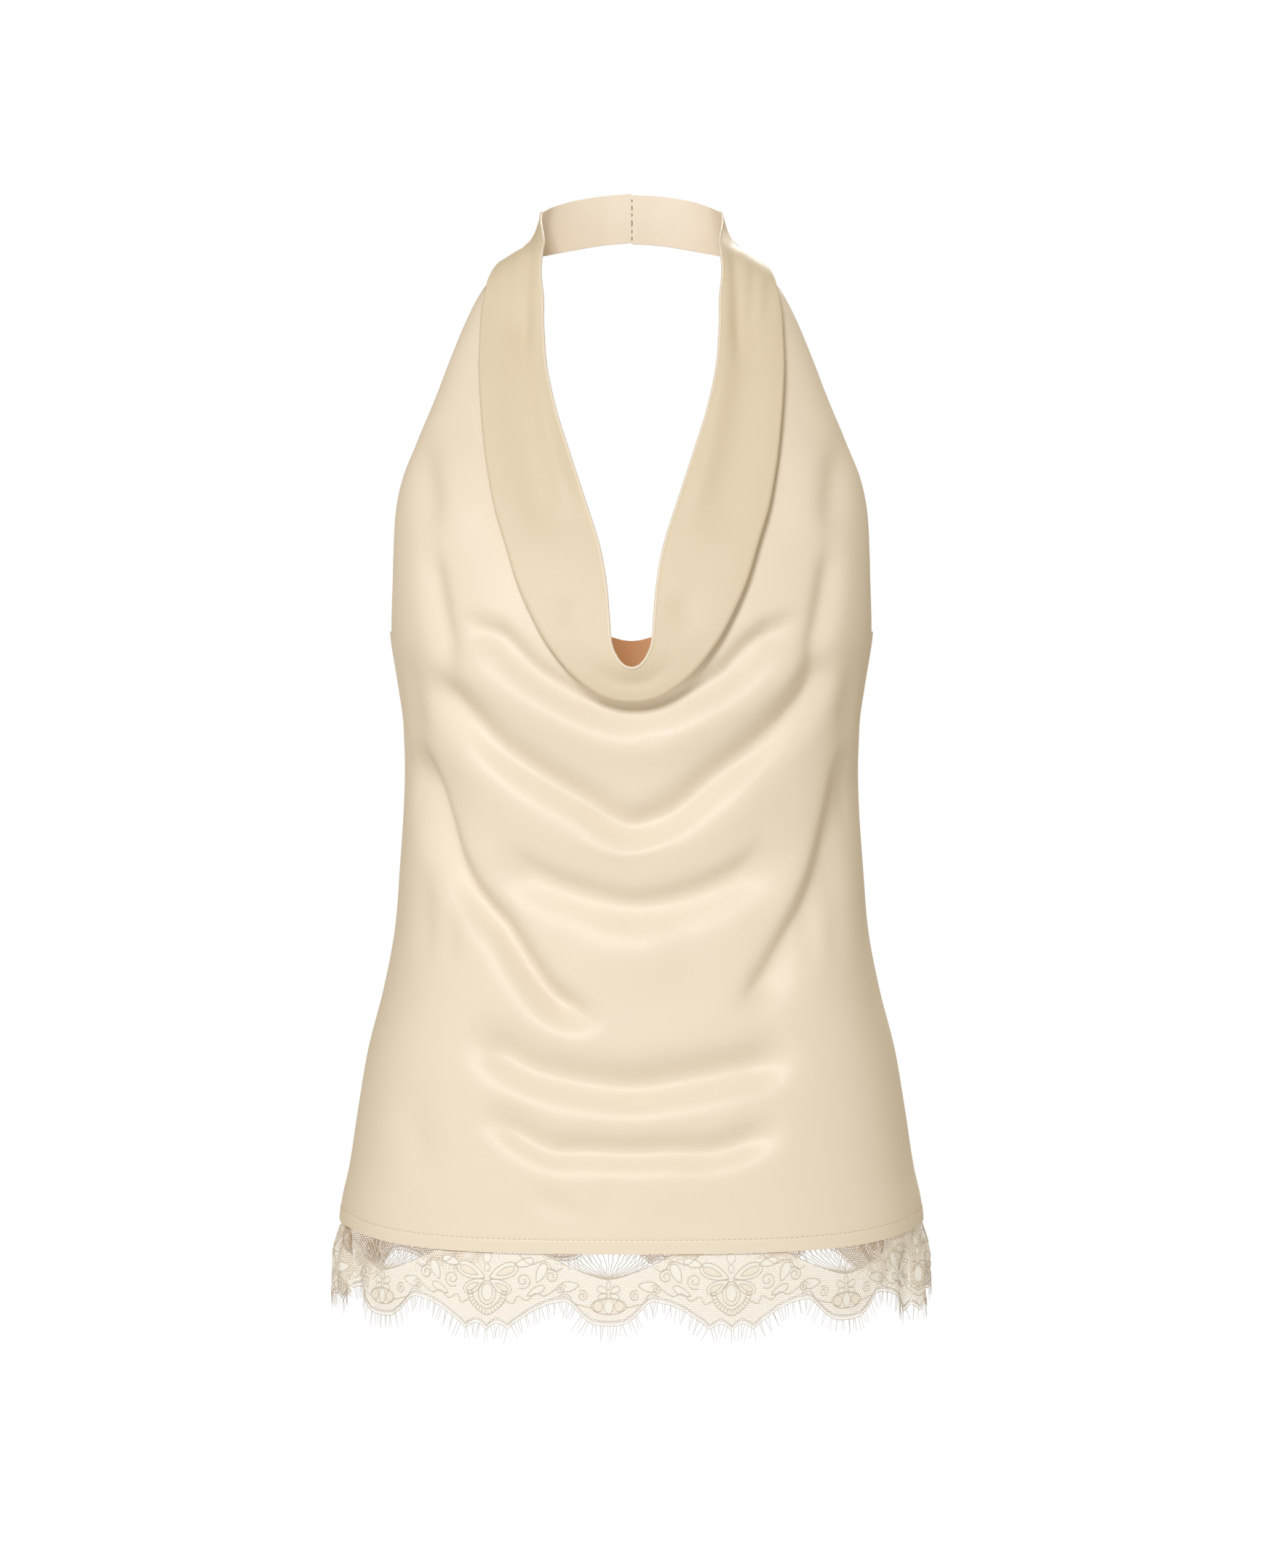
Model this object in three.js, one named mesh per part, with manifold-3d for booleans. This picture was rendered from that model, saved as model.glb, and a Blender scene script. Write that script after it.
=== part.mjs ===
// A halter neck top in satin: a cowl front gathered into a neck strap, a low back, and an eyelash
// lace hem. Millimetres, +Z up, the front faces -Y. The origin is the inside face of the strap at
// the centre back, which rests on the nape. Sides are the wearer's, so left is +X. Each piece is
// one wall of cloth, worked out on the hollow form that the garment keeps when it is worn.

import * as THREE from "three";
import { mergeVertices } from "three/addons/utils/BufferGeometryUtils.js";
import Module from "manifold-3d";

const wasm = await Module();
wasm.setup();

// Driving dimensions
const SATIN_WALL = 1.4;
const STRAP_WALL = 1.8;
const LACE_WALL = 1.1;
const SEAM_GAP = 0.3;
const STRAP_WIDTH = 33;
const UNDERARM_Z = -284;
const SIDE_HEM_Z = -664;
const FRONT_HEM_Z = -669.5;
const LACE_REPEAT = 150;
const LACE_SLACK = 17;
const VALLEY_Z = -698.5;
const LARGE_MOTIF_X = -89;
const EYELASH = 11;

// Gaps that are left between pieces which are sewn together in the real one
const SIDE_SEAM_GAP = 0.4;
const SHOULDER_SEAM_GAP = 0.8;
const LACE_GAP = 0.4;
const LACE_SEAM_GAP = 0.4;
const STRIP_GAP = 0.45;

// The worn form. Each row is a level: its height, half width, the y of the side line and of the
// centre front, and the depth of the back behind the side line.
const LEVELS = [
  { z: 12, half: 54, side: -19, front: -66, back: 10 },
  { z: -3, half: 58, side: -20, front: -72, back: 12 },
  { z: -18, half: 62, side: -22, front: -76, back: 14 },
  { z: -29, half: 70, side: -25, front: -79, back: 15 },
  { z: -37, half: 81, side: -28, front: -81, back: 17 },
  { z: -46, half: 92, side: -33, front: -83, back: 20 },
  { z: -56, half: 100, side: -40, front: -86, back: 26 },
  { z: -77, half: 110, side: -50, front: -94, back: 40 },
  { z: -107, half: 121, side: -62, front: -110, back: 62 },
  { z: -132, half: 129.5, side: -71, front: -125, back: 78 },
  { z: -158, half: 140, side: -76, front: -139, back: 88 },
  { z: -186, half: 150.5, side: -77, front: -154, back: 96 },
  { z: -214, half: 156, side: -77, front: -168, back: 101 },
  { z: -250, half: 157.5, side: -75, front: -182, back: 104 },
  { z: -284, half: 157, side: -75, front: -190, back: 105 },
  { z: -317, half: 152, side: -75, front: -193, back: 101 },
  { z: -345, half: 148.2, side: -75, front: -192, back: 97 },
  { z: -393, half: 148, side: -75, front: -189, back: 93 },
  { z: -440, half: 150.8, side: -75, front: -188, back: 94 },
  { z: -478, half: 154, side: -75, front: -190, back: 99 },
  { z: -516, half: 161.3, side: -75, front: -193, back: 107 },
  { z: -554, half: 171, side: -75, front: -197, back: 114 },
  { z: -592, half: 177.5, side: -75, front: -200, back: 119 },
  { z: -630, half: 183.3, side: -75, front: -203, back: 122 },
  { z: -650, half: 187.8, side: -75, front: -204, back: 124 },
  { z: -664, half: 189.5, side: -75, front: -205, back: 125 },
  { z: -690, half: 189.5, side: -75, front: -206, back: 126 },
  { z: -730, half: 191, side: -75, front: -208, back: 128 },
];
const FRONT_FULLNESS = 0.3;
const BACK_FULLNESS = 0.22;

// Edges of the front, from the centre out to the shoulder, as they are seen from in front. The lift
// is how far the cloth stands off the worn form.
const NECK_EDGE = [
  { x: 0, z: -311.8, lift: 7 },
  { x: 8, z: -307, lift: 7 },
  { x: 12.5, z: -298, lift: 7 },
  { x: 14.2, z: -281, lift: 7 },
  { x: 16, z: -260, lift: 7 },
  { x: 20.5, z: -235, lift: 7 },
  { x: 28.5, z: -209, lift: 7 },
  { x: 39, z: -176, lift: 7 },
  { x: 48.5, z: -145, lift: 7 },
  { x: 54.5, z: -117, lift: 7 },
  { x: 57, z: -88, lift: 7 },
  { x: 58, z: -62, lift: 6 },
  { x: 58.5, z: -36, lift: 5 },
  { x: 59.3, z: -16, lift: 4 },
  { x: 60, z: -1, lift: 3 },
];
const LIP = [
  { x: 0, z: -331.5, lift: 9.2 },
  { x: 10, z: -330, lift: 9.2 },
  { x: 20, z: -325, lift: 9.2 },
  { x: 35, z: -313.5, lift: 9.2 },
  { x: 50, z: -295, lift: 9.2 },
  { x: 61, z: -275, lift: 9.2 },
  { x: 70, z: -254, lift: 9.2 },
  { x: 77.5, z: -229, lift: 9.2 },
  { x: 84, z: -207.5, lift: 9.2 },
  { x: 89, z: -182, lift: 9.2 },
  { x: 93, z: -152.5, lift: 9.2 },
  { x: 96, z: -119, lift: 9 },
  { x: 96.5, z: -93, lift: 8 },
  { x: 96, z: -72, lift: 7 },
  { x: 94, z: -57, lift: 6.5 },
  { x: 89.5, z: -41, lift: 6 },
  { x: 79.5, z: -30, lift: 5 },
  { x: 68.5, z: -22, lift: 4.5 },
];
const ARMHOLE = [
  { z: -31, x: 69 },
  { z: -38, x: 80 },
  { z: -46, x: 89.5 },
  { z: -55, x: 97.5 },
  { z: -77, x: 108 },
  { z: -107, x: 119 },
  { z: -128, x: 126 },
  { z: -148, x: 133.5 },
  { z: -167, x: 141.5 },
  { z: -186, x: 148 },
  { z: -205, x: 151.5 },
  { z: -234, x: 152.8 },
  { z: -253, x: 153.2 },
  { z: -284, x: 154.3 },
];
const BACK_TOP = [
  { x: 0, z: -284.5 },
  { x: 17, z: -280.5 },
  { x: 60, z: -281.5 },
  { x: 110, z: -283.5 },
  { x: 158, z: -284 },
];

// The left half of the neck strap, from the centre back to the shoulder: y and height of its upper
// and lower edges at each x.
const STRAP = [
  { upperX: 19.5, upperY: 0.6, upperZ: 15.4, lowerX: 20, lowerY: 0.4, lowerZ: -18 },
  { upperX: 40, upperY: -3, upperZ: 11.5, lowerX: 40.5, lowerY: -3.5, lowerZ: -22 },
  { upperX: 52.5, upperY: -10, upperZ: 6.5, lowerX: 54, lowerY: -8.5, lowerZ: -25.5 },
  { upperX: 57.8, upperY: -20.5, upperZ: 2, lowerX: 62, lowerY: -14.5, lowerZ: -27.8 },
];
const CENTRE_BACK_STEP = 0.8;
const HEM_SEAM_ANGLE = THREE.MathUtils.degToRad(70);

// The fold under the cowl: the cloth turns up behind its lower edge, then down again.
const FOLD_RADIUS = 2.3;
const FOLD_RETURN = 4.5;
const FOLD_OPEN = 11;
const FOLD_SLOPE = 0.04;
const FOLD_SHOULDER = 0.5;
const FOLD_TAPER_START = 0.8;
const FOLD_TAPER_END = 0.93;

// Creases, seen from in front: a path of x and z points, how far the cloth dips (-) or rises (+),
// and the half width. A mirrored crease is drawn for the left and lies on both sides.
const CREASES = [
  { path: [[99, -278], [76, -291], [50, -310], [24, -324], [0, -331]],
    rise: -5, width: 8, mirrored: true },
  { path: [[80, -322], [40, -341], [0, -347]], rise: 2.5, width: 8, mirrored: true },
  { path: [[127, -302], [90, -336], [51, -370], [25, -386], [0, -401]],
    rise: -5, width: 10, mirrored: true },
  { path: [[98, -375], [58, -402], [25, -417], [0, -423]], rise: 2.5, width: 8, mirrored: true },
  { path: [[76, -417], [52, -431], [24, -441], [0, -451]], rise: -4, width: 9, mirrored: true },
  { path: [[-112, -393], [-96, -429], [-76, -463], [-60, -492], [-51, -508]],
    rise: -5, width: 9, mirrored: false },
  { path: [[-51, -508], [-36, -504], [-26, -520]], rise: -2.5, width: 8, mirrored: false },
  { path: [[124, -393], [104, -429], [84, -465], [70, -488], [56, -512], [51, -524]],
    rise: -4.5, width: 9, mirrored: false },
  { path: [[-92, -530], [-66, -544], [-36, -552], [-6, -570], [14, -558], [44, -548], [94, -534]],
    rise: -4, width: 9, mirrored: false },
  { path: [[-96, -574], [-75, -584], [-55, -594], [0, -602], [95, -572]],
    rise: -3, width: 11, mirrored: false },
  { path: [[132, -414], [130, -460], [128, -500]], rise: -2.5, width: 6, mirrored: true },
  { path: [[117, -418], [113, -470]], rise: -2, width: 6, mirrored: true },
  { path: [[131, -150], [124, -180], [120, -225]], rise: -2.5, width: 7, mirrored: true },
  { path: [[140, -300], [133, -345], [118, -392]], rise: -2, width: 7, mirrored: true },
];
const BAND_CREASES = [
  { path: [[66, -10], [68, -35], [68, -75]], rise: -1.6, width: 4.5, mirrored: true },
  { path: [[80, -26], [77, -50], [75, -95]], rise: -1.5, width: 4.5, mirrored: true },
  { path: [[91, -38], [88, -62], [86, -95]], rise: -1.3, width: 4, mirrored: true },
  { path: [[76, -110], [70, -170], [56, -230], [44, -255]], rise: -1.6, width: 8, mirrored: true },
];
const CREASE_END = 16;
const CREASE_STEP = 8;
const CREASE_FADE = 3;
const HEM_CALM_FROM = 8;
const HEM_CALM_TO = 40;

// Half of one lace repeat, from the middle of the large flower to the middle of the small one: how
// far the edge hangs below the valleys.
const LACE_EDGE = [
  { from: 0, depth: 18.5 },
  { from: 6, depth: 14 },
  { from: 13.5, depth: 17.5 },
  { from: 21, depth: 11.5 },
  { from: 29, depth: 6 },
  { from: 38, depth: 1.8 },
  { from: 48, depth: 0 },
  { from: 55, depth: 5.5 },
  { from: 65, depth: 13.6 },
  { from: 75, depth: 14.8 },
];
const OVALS = [
  { at: 0, z: -677, wide: 6, high: 6.4, sides: 4 },
  { at: 0, z: -694, wide: 7, high: 7.4, sides: 5 },
  { at: -27, z: -691, wide: 12, high: 6, sides: 5 },
  { at: 27, z: -691, wide: 12, high: 6, sides: 5 },
  { at: 75, z: -702, wide: 6, high: 7.4, sides: 5 },
];
const FAN_TURNS = [-56, -28, 0, 28, 56];
const FAN = { at: 75, z: -687, wide: 33, high: 14.5, inner: 0.36, slot: 10 };
const LACE_RING_Z = -690;
const LACE_WAVE = 44;
const LACE_FREE_FROM = 1;
const LACE_FREE_TO = 24;
const WAVES_FROM = 172;
const WAVES_TO = 348;
const LACE_END = 2.5;
const CUT_REACH = 8;
const STRIP_WALL = 1;
const STRIP_WIDTH = 1.1;
const EYELASH_ROOT = 1;
const EYELASH_LEAN = 0.4;
const EYELASH_SPACE = 9;
const EYELASH_UNEVEN = 0.18;
const EYELASH_BEAT = 2.4;
const SLOPE_STEP = 2;

// Rows and columns of the walls
const FRONT_COLUMNS = 32;
const NECK_CROWDING = 1.35;
const LIP_CROWDING = 1.05;
const BAND_ROWS = 5;
const ARMHOLE_ROWS = 10;
const SIDE_ROWS = 15;
const BACK_COLUMNS = 28;
const STRAP_COLUMNS = 10;
const BACK_CORNER_COLUMNS = 3;
const STRAP_SAMPLES = 200;
const EDGE_SAMPLES = 400;
const STRAP_ROWS = 4;
const LACE_ROWS = 2;

// Limits of the search for a place on the form, and the widest share of its half width
const SPOT_TURNS = 40;
const SPOT_EASE = 0.5;
const WIDEST_SHARE = 0.995;
const TINY = 1e-6;

const SATIN_COLOUR = 0xefe2c6;
const SATIN_ROUGHNESS = 0.34;
const LACE_COLOUR = 0xebdfcb;
const LACE_ROUGHNESS = 0.8;

const { clamp, lerp, smoothstep } = THREE.MathUtils;

// A smooth value from a table, by its key column, which may rise or fall.
function fromTable(table, key, at, column) {
  const rising = table[1][key] > table[0][key] ? 1 : -1;
  let row = 0;
  while (row < table.length - 2 && (at - table[row + 1][key]) * rising > 0) {
    row += 1;
  }
  const slope = (i) => {
    const before = table[Math.max(0, i - 1)];
    const after = table[Math.min(table.length - 1, i + 1)];
    return (after[column] - before[column]) / (after[key] - before[key]);
  };
  const a = table[row];
  const b = table[row + 1];
  const span = b[key] - a[key];
  const t = clamp((at - a[key]) / span, 0, 1);
  const ease = t * t * (3 - 2 * t);
  const leave = t * (1 - t) * (1 - t) * span * slope(row);
  const arrive = t * t * (t - 1) * span * slope(row + 1);
  return lerp(a[column], b[column], ease) + leave + arrive;
}

// The worn form at an angle round the body (0 is the front, left positive) and a height.
function formPoint(angle, z) {
  const across = Math.sin(angle);
  const ahead = Math.cos(angle);
  const half = fromTable(LEVELS, "z", z, "half");
  const side = fromTable(LEVELS, "z", z, "side");
  let y = side;
  if (ahead > 0) {
    const front = fromTable(LEVELS, "z", z, "front");
    y += (front - side) * ahead * (1 + FRONT_FULLNESS * across * across);
  } else {
    y -= fromTable(LEVELS, "z", z, "back") * ahead * (1 + BACK_FULLNESS * across * across);
  }
  return new THREE.Vector3(half * across, y, z);
}

function formNormal(angle, z) {
  const step = 0.01;
  const round = formPoint(angle + step, z).sub(formPoint(angle - step, z));
  const up = formPoint(angle, z + 1).sub(formPoint(angle, z - 1));
  return round.cross(up).normalize();
}

function lifted(angle, z, lift) {
  return formPoint(angle, z).addScaledVector(formNormal(angle, z), lift);
}

// The angle and height on the form whose lifted point is seen from in front at x and z.
function spot({ x, z, lift }) {
  let foundX = x;
  let foundZ = z;
  let angle = 0;
  for (let turn = 0; turn < SPOT_TURNS; turn += 1) {
    const half = fromTable(LEVELS, "z", foundZ, "half");
    angle = Math.asin(clamp(foundX / half, -WIDEST_SHARE, WIDEST_SHARE));
    const point = lifted(angle, foundZ, lift);
    foundX += SPOT_EASE * (x - point.x);
    foundZ += SPOT_EASE * (z - point.z);
  }
  return new THREE.Vector3(angle, foundZ, lift);
}

// A crease is a soft trough or ridge beside its path, fading out over its ends.
function creaseList(creases) {
  return creases.map(({ path, rise, width, mirrored }) => {
    const points = path.map(([x, z]) => new THREE.Vector2(x, z));
    const line = new THREE.SplineCurve(points);
    const steps = Math.ceil(line.getLength() / CREASE_STEP);
    return { line: line.getSpacedPoints(steps), rise, width, mirrored };
  });
}

function creaseHeight(creases, x, z) {
  const place = new THREE.Vector2();
  const foot = new THREE.Vector2();
  let height = 0;
  for (const { line, rise, width, mirrored } of creases) {
    const centred = mirrored && Math.abs(line[line.length - 1].x) < 1;
    place.set(mirrored ? Math.abs(x) : x, z);
    let nearest = Infinity;
    let along = 0;
    for (let i = 0; i < line.length - 1; i += 1) {
      const step = foot.copy(line[i + 1]).sub(line[i]);
      const length = step.length();
      const off = place.clone().sub(line[i]);
      const t = clamp(off.dot(step) / (length * length), 0, 1);
      const gap = off.addScaledVector(step, -t).length();
      if (gap < nearest) {
        nearest = gap;
        along = (i + t) * length;
      }
    }
    const reach = line[0].distanceTo(line[1]) * (line.length - 1);
    const start = smoothstep(along, -1, CREASE_END);
    const finish = centred ? 1 : smoothstep(reach - along, -1, CREASE_END);
    height += rise * Math.exp(-((nearest / width) ** 2)) * start * finish;
  }
  return height;
}

const bodyCreases = creaseList(CREASES);
const bandCreases = creaseList(BAND_CREASES);

// Satin of the body: the form with its creases, which die out before the hem.
function satinPoint(angle, z) {
  const point = formPoint(angle, z);
  const front = Math.max(0, Math.cos(angle));
  if (front === 0) {
    return point;
  }
  const calm = smoothstep(z, SIDE_HEM_Z + HEM_CALM_FROM, SIDE_HEM_Z + HEM_CALM_TO);
  const height = creaseHeight(bodyCreases, point.x, z) * calm * Math.min(1, CREASE_FADE * front);
  return point.addScaledVector(formNormal(angle, z), height);
}

// The seam between front and back, forward of the side line, and the hem line.
function armholeAngle(z) {
  const share = fromTable(ARMHOLE, "z", z, "x") / fromTable(LEVELS, "z", z, "half");
  return Math.asin(clamp(share, 0, WIDEST_SHARE));
}
const underarmAngle = armholeAngle(UNDERARM_Z);

function seamAngle(z) {
  const down = clamp((UNDERARM_Z - z) / (UNDERARM_Z - SIDE_HEM_Z), 0, 2);
  return lerp(underarmAngle, HEM_SEAM_ANGLE, down);
}

function hemZ(angle) {
  const ahead = Math.max(0, Math.cos(angle) - Math.cos(HEM_SEAM_ANGLE));
  const share = ahead / (1 - Math.cos(HEM_SEAM_ANGLE));
  return lerp(SIDE_HEM_Z, FRONT_HEM_Z, Math.sin((share * Math.PI) / 2));
}

// A closed wall of cloth about a grid of middle points, with rims round its edges.
function wallGeometry(grid, thickness) {
  const rows = grid.length;
  const columns = grid[0].length;
  const outer = [];
  const inner = [];
  for (let i = 0; i < rows; i += 1) {
    for (let j = 0; j < columns; j += 1) {
      const down = grid[Math.min(rows - 1, i + 1)][j].clone().sub(grid[Math.max(0, i - 1)][j]);
      const across = grid[i][Math.min(columns - 1, j + 1)].clone().sub(grid[i][Math.max(0, j - 1)]);
      const half = down.cross(across).normalize().multiplyScalar(thickness / 2);
      outer.push(grid[i][j].clone().add(half));
      inner.push(grid[i][j].clone().sub(half));
    }
  }
  const points = outer.concat(inner);
  const faces = [];
  const quad = (a, b, c, d) => faces.push(a, b, c, a, c, d);
  const back = rows * columns;
  const at = (i, j) => i * columns + j;
  for (let i = 0; i < rows - 1; i += 1) {
    for (let j = 0; j < columns - 1; j += 1) {
      quad(at(i, j), at(i + 1, j), at(i + 1, j + 1), at(i, j + 1));
      quad(back + at(i, j), back + at(i, j + 1), back + at(i + 1, j + 1), back + at(i + 1, j));
    }
  }
  for (let i = 0; i < rows - 1; i += 1) {
    const end = columns - 1;
    quad(at(i, 0), back + at(i, 0), back + at(i + 1, 0), at(i + 1, 0));
    quad(at(i, end), at(i + 1, end), back + at(i + 1, end), back + at(i, end));
  }
  for (let j = 0; j < columns - 1; j += 1) {
    const end = rows - 1;
    quad(at(0, j), at(0, j + 1), back + at(0, j + 1), back + at(0, j));
    quad(at(end, j), back + at(end, j), back + at(end, j + 1), at(end, j + 1));
  }
  return geometryOf(points, faces);
}

function geometryOf(points, faces) {
  const geometry = new THREE.BufferGeometry();
  const positions = points.flatMap((point) => point.toArray());
  geometry.setAttribute("position", new THREE.Float32BufferAttribute(positions, 3));
  geometry.setIndex(faces);
  return geometry;
}

// Front: one wall from the neck edge, over the cowl band and its fold, down to the hem.
function edgeCurve(table) {
  const spots = table.map(spot);
  const mirrored = spots.slice(1).map((p) => new THREE.Vector3(-p.x, p.y, p.z));
  return new THREE.CatmullRomCurve3([...mirrored.reverse(), ...spots], false, "centripetal");
}

// Where a column of the front stands, from -1 at the right shoulder to 1 at the left. Crowding above
// 1 draws the columns towards the centre front, where the edges turn.
function columnPlace(j, crowding) {
  const even = (2 * j) / FRONT_COLUMNS - 1;
  return Math.sign(even) * Math.abs(even) ** crowding;
}

// Points along an edge, by their share of its real length, as angle, height and lift.
function columnSpots(curve, crowding) {
  const fine = EDGE_SAMPLES;
  const spots = curve.getPoints(fine);
  const places = spots.map((p) => lifted(p.x, p.y, p.z));
  const run = [0];
  for (let i = 1; i <= fine; i += 1) {
    run.push(run[i - 1] + places[i].distanceTo(places[i - 1]));
  }
  const chosen = [];
  let i = 0;
  for (let j = 0; j <= FRONT_COLUMNS; j += 1) {
    const wanted = (run[fine] * (1 + columnPlace(j, crowding))) / 2;
    while (i < fine - 1 && run[i + 1] < wanted) {
      i += 1;
    }
    const part = clamp((wanted - run[i]) / (run[i + 1] - run[i]), 0, 1);
    chosen.push(spots[i].clone().lerp(spots[i + 1], part));
  }
  return chosen;
}

// The fold as steps down the cloth (d) and a share of the lift (h), from the lip to the body.
function foldSteps(taper) {
  const steps = [];
  const turn = (degrees) => THREE.MathUtils.degToRad(degrees);
  for (const bend of [60, 120, 180]) {
    const d = FOLD_RADIUS * Math.sin(turn(bend));
    steps.push({ d, h: 1 - (0.5 - FOLD_SLOPE) * (1 - Math.cos(turn(bend))) / 2 });
  }
  for (const bend of [0, 60, 120, 180]) {
    const d = -FOLD_RETURN - FOLD_RADIUS * Math.sin(turn(bend));
    steps.push({ d, h: (0.5 - FOLD_SLOPE) * (1 + Math.cos(turn(bend))) / 2 });
  }
  return steps.map(({ d, h }) => ({ d: lerp(d, FOLD_OPEN * (1 - h), taper), h }));
}

function frontGrid() {
  const neck = columnSpots(edgeCurve(NECK_EDGE), NECK_CROWDING);
  const lip = columnSpots(edgeCurve(LIP), LIP_CROWDING);
  const columns = neck.map((start, j) => {
    const s = columnPlace(j, LIP_CROWDING);
    const end = lip[j];
    const column = [];
    for (let row = 0; row <= BAND_ROWS; row += 1) {
      const p = start.clone().lerp(end, row / BAND_ROWS);
      const seen = lifted(p.x, p.y, p.z);
      const crease = creaseHeight(bandCreases, seen.x, seen.z);
      column.push(seen.addScaledVector(formNormal(p.x, p.y), crease));
    }
    const before = lip[Math.max(0, j - 1)];
    const after = lip[Math.min(FRONT_COLUMNS, j + 1)];
    const normal = formNormal(end.x, end.y);
    const along = formPoint(after.x, after.y).sub(formPoint(before.x, before.y)).normalize();
    const taper = smoothstep(Math.abs(s), FOLD_TAPER_START, FOLD_TAPER_END);
    const fall = column[BAND_ROWS].clone().sub(column[BAND_ROWS - 1]).normalize();
    const down = along.clone().cross(normal).normalize().lerp(fall, FOLD_SHOULDER * taper).normalize();
    const foot = formPoint(end.x, end.y);
    for (const { d, h } of foldSteps(taper)) {
      column.push(foot.clone().addScaledVector(down, d).addScaledVector(normal, h * end.z));
    }
    return column;
  });
  const bodyRows = ARMHOLE_ROWS + SIDE_ROWS;
  const rootAngle = (column) => {
    const root = column[column.length - 1];
    const share = root.x / fromTable(LEVELS, "z", root.z, "half");
    return Math.asin(clamp(share, -WIDEST_SHARE, WIDEST_SHARE));
  };
  const edgeTop = columns[0][columns[0].length - 1];
  const edgeTopAngle = Math.abs(rootAngle(columns[0]));
  const edgeZ = (row) => row < ARMHOLE_ROWS
    ? lerp(edgeTop.z, UNDERARM_Z, row / ARMHOLE_ROWS)
    : lerp(UNDERARM_Z, SIDE_HEM_Z, (row - ARMHOLE_ROWS) / SIDE_ROWS);
  const edgeAngle = (z) => (z > UNDERARM_Z ? armholeAngle(z) : seamAngle(z));
  columns.forEach((column, j) => {
    const s = columnPlace(j, LIP_CROWDING);
    const root = column[column.length - 1];
    const rootShare = rootAngle(column) / edgeTopAngle;
    const hem = hemZ(s * HEM_SEAM_ANGLE);
    for (let row = 1; row <= bodyRows; row += 1) {
      const t = row / bodyRows;
      const bend = edgeZ(row) - lerp(edgeTop.z, SIDE_HEM_Z, t);
      const z = lerp(root.z, hem, t) + s * s * bend;
      const share = lerp(rootShare, s, smoothstep(t, 0, 0.5));
      column.push(satinPoint(share * edgeAngle(edgeZ(row)), z));
    }
  });
  return columns[0].map((unused, i) => columns.map((column) => column[i]));
}

// Back: a plain piece from its low top edge to the hem, between the two side seams.
function gapAngle(angle, z) {
  const step = 0.01;
  const run = formPoint(angle + step, z).distanceTo(formPoint(angle - step, z));
  return (SIDE_SEAM_GAP * 2 * step) / run;
}

function backGrid() {
  const grid = [];
  for (let row = 0; row <= SIDE_ROWS; row += 1) {
    const share = row / SIDE_ROWS;
    const edgeZ = lerp(UNDERARM_Z, SIDE_HEM_Z, share);
    const from = seamAngle(edgeZ) + gapAngle(seamAngle(edgeZ), edgeZ);
    const line = [];
    for (let j = 0; j <= BACK_COLUMNS; j += 1) {
      const angle = lerp(from, 2 * Math.PI - from, j / BACK_COLUMNS);
      const fromCentre = Math.abs(formPoint(angle, UNDERARM_Z).x);
      const inside = smoothstep(Math.min(j, BACK_COLUMNS - j), 0, BACK_CORNER_COLUMNS);
      const dip = (fromTable(BACK_TOP, "x", fromCentre, "z") - UNDERARM_Z) * inside;
      line.push(satinPoint(angle, edgeZ + dip * (1 - share)));
    }
    grid.push(line.reverse());
  }
  return grid;
}

// Neck strap: two halves, each from the centre back seam to the end of the front's gathers.
function strapGrid(side, frontEdge) {
  const edge = new THREE.CurvePath();
  frontEdge.slice(1).forEach((point, i) => edge.add(new THREE.LineCurve3(frontEdge[i], point)));
  const lines = [];
  for (let row = 0; row <= STRAP_ROWS; row += 1) {
    const share = row / STRAP_ROWS;
    const end = edge.getPointAt(share);
    const points = STRAP.map((at) => new THREE.Vector3(
      side * lerp(at.upperX, at.lowerX, share),
      lerp(at.upperY, at.lowerY, share),
      lerp(at.upperZ, at.lowerZ, share),
    ));
    const centre = new THREE.Vector3(0, STRAP_WALL / 2, STRAP_WIDTH * (0.5 - share));
    const beyond = points[0].clone().setX(-points[0].x);
    const line = new THREE.CatmullRomCurve3([beyond, centre, ...points, end], false, "centripetal");
    const spots = line.getPoints(STRAP_SAMPLES).filter((p) => p.x * side > SEAM_GAP / 2);
    spots[0].x = (side * SEAM_GAP) / 2;
    const whole = new THREE.CatmullRomCurve3(spots);
    const length = whole.getLength() - SHOULDER_SEAM_GAP;
    const column = [];
    for (let j = 0; j <= STRAP_COLUMNS; j += 1) {
      const spot = whole.getPointAt((length * j) / STRAP_COLUMNS / whole.getLength());
      spot.z += side < 0 ? CENTRE_BACK_STEP * (1 - j / STRAP_COLUMNS) ** 4 : 0;
      column.push(spot);
    }
    lines.push(side > 0 ? column.reverse() : column);
  }
  return lines;
}

// The lace runs round the form below the hem. It is longer than the hem, and the slack stands in
// soft waves at the two sides. "run" is the length of lace from the centre front.
const laceTurns = [];

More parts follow.
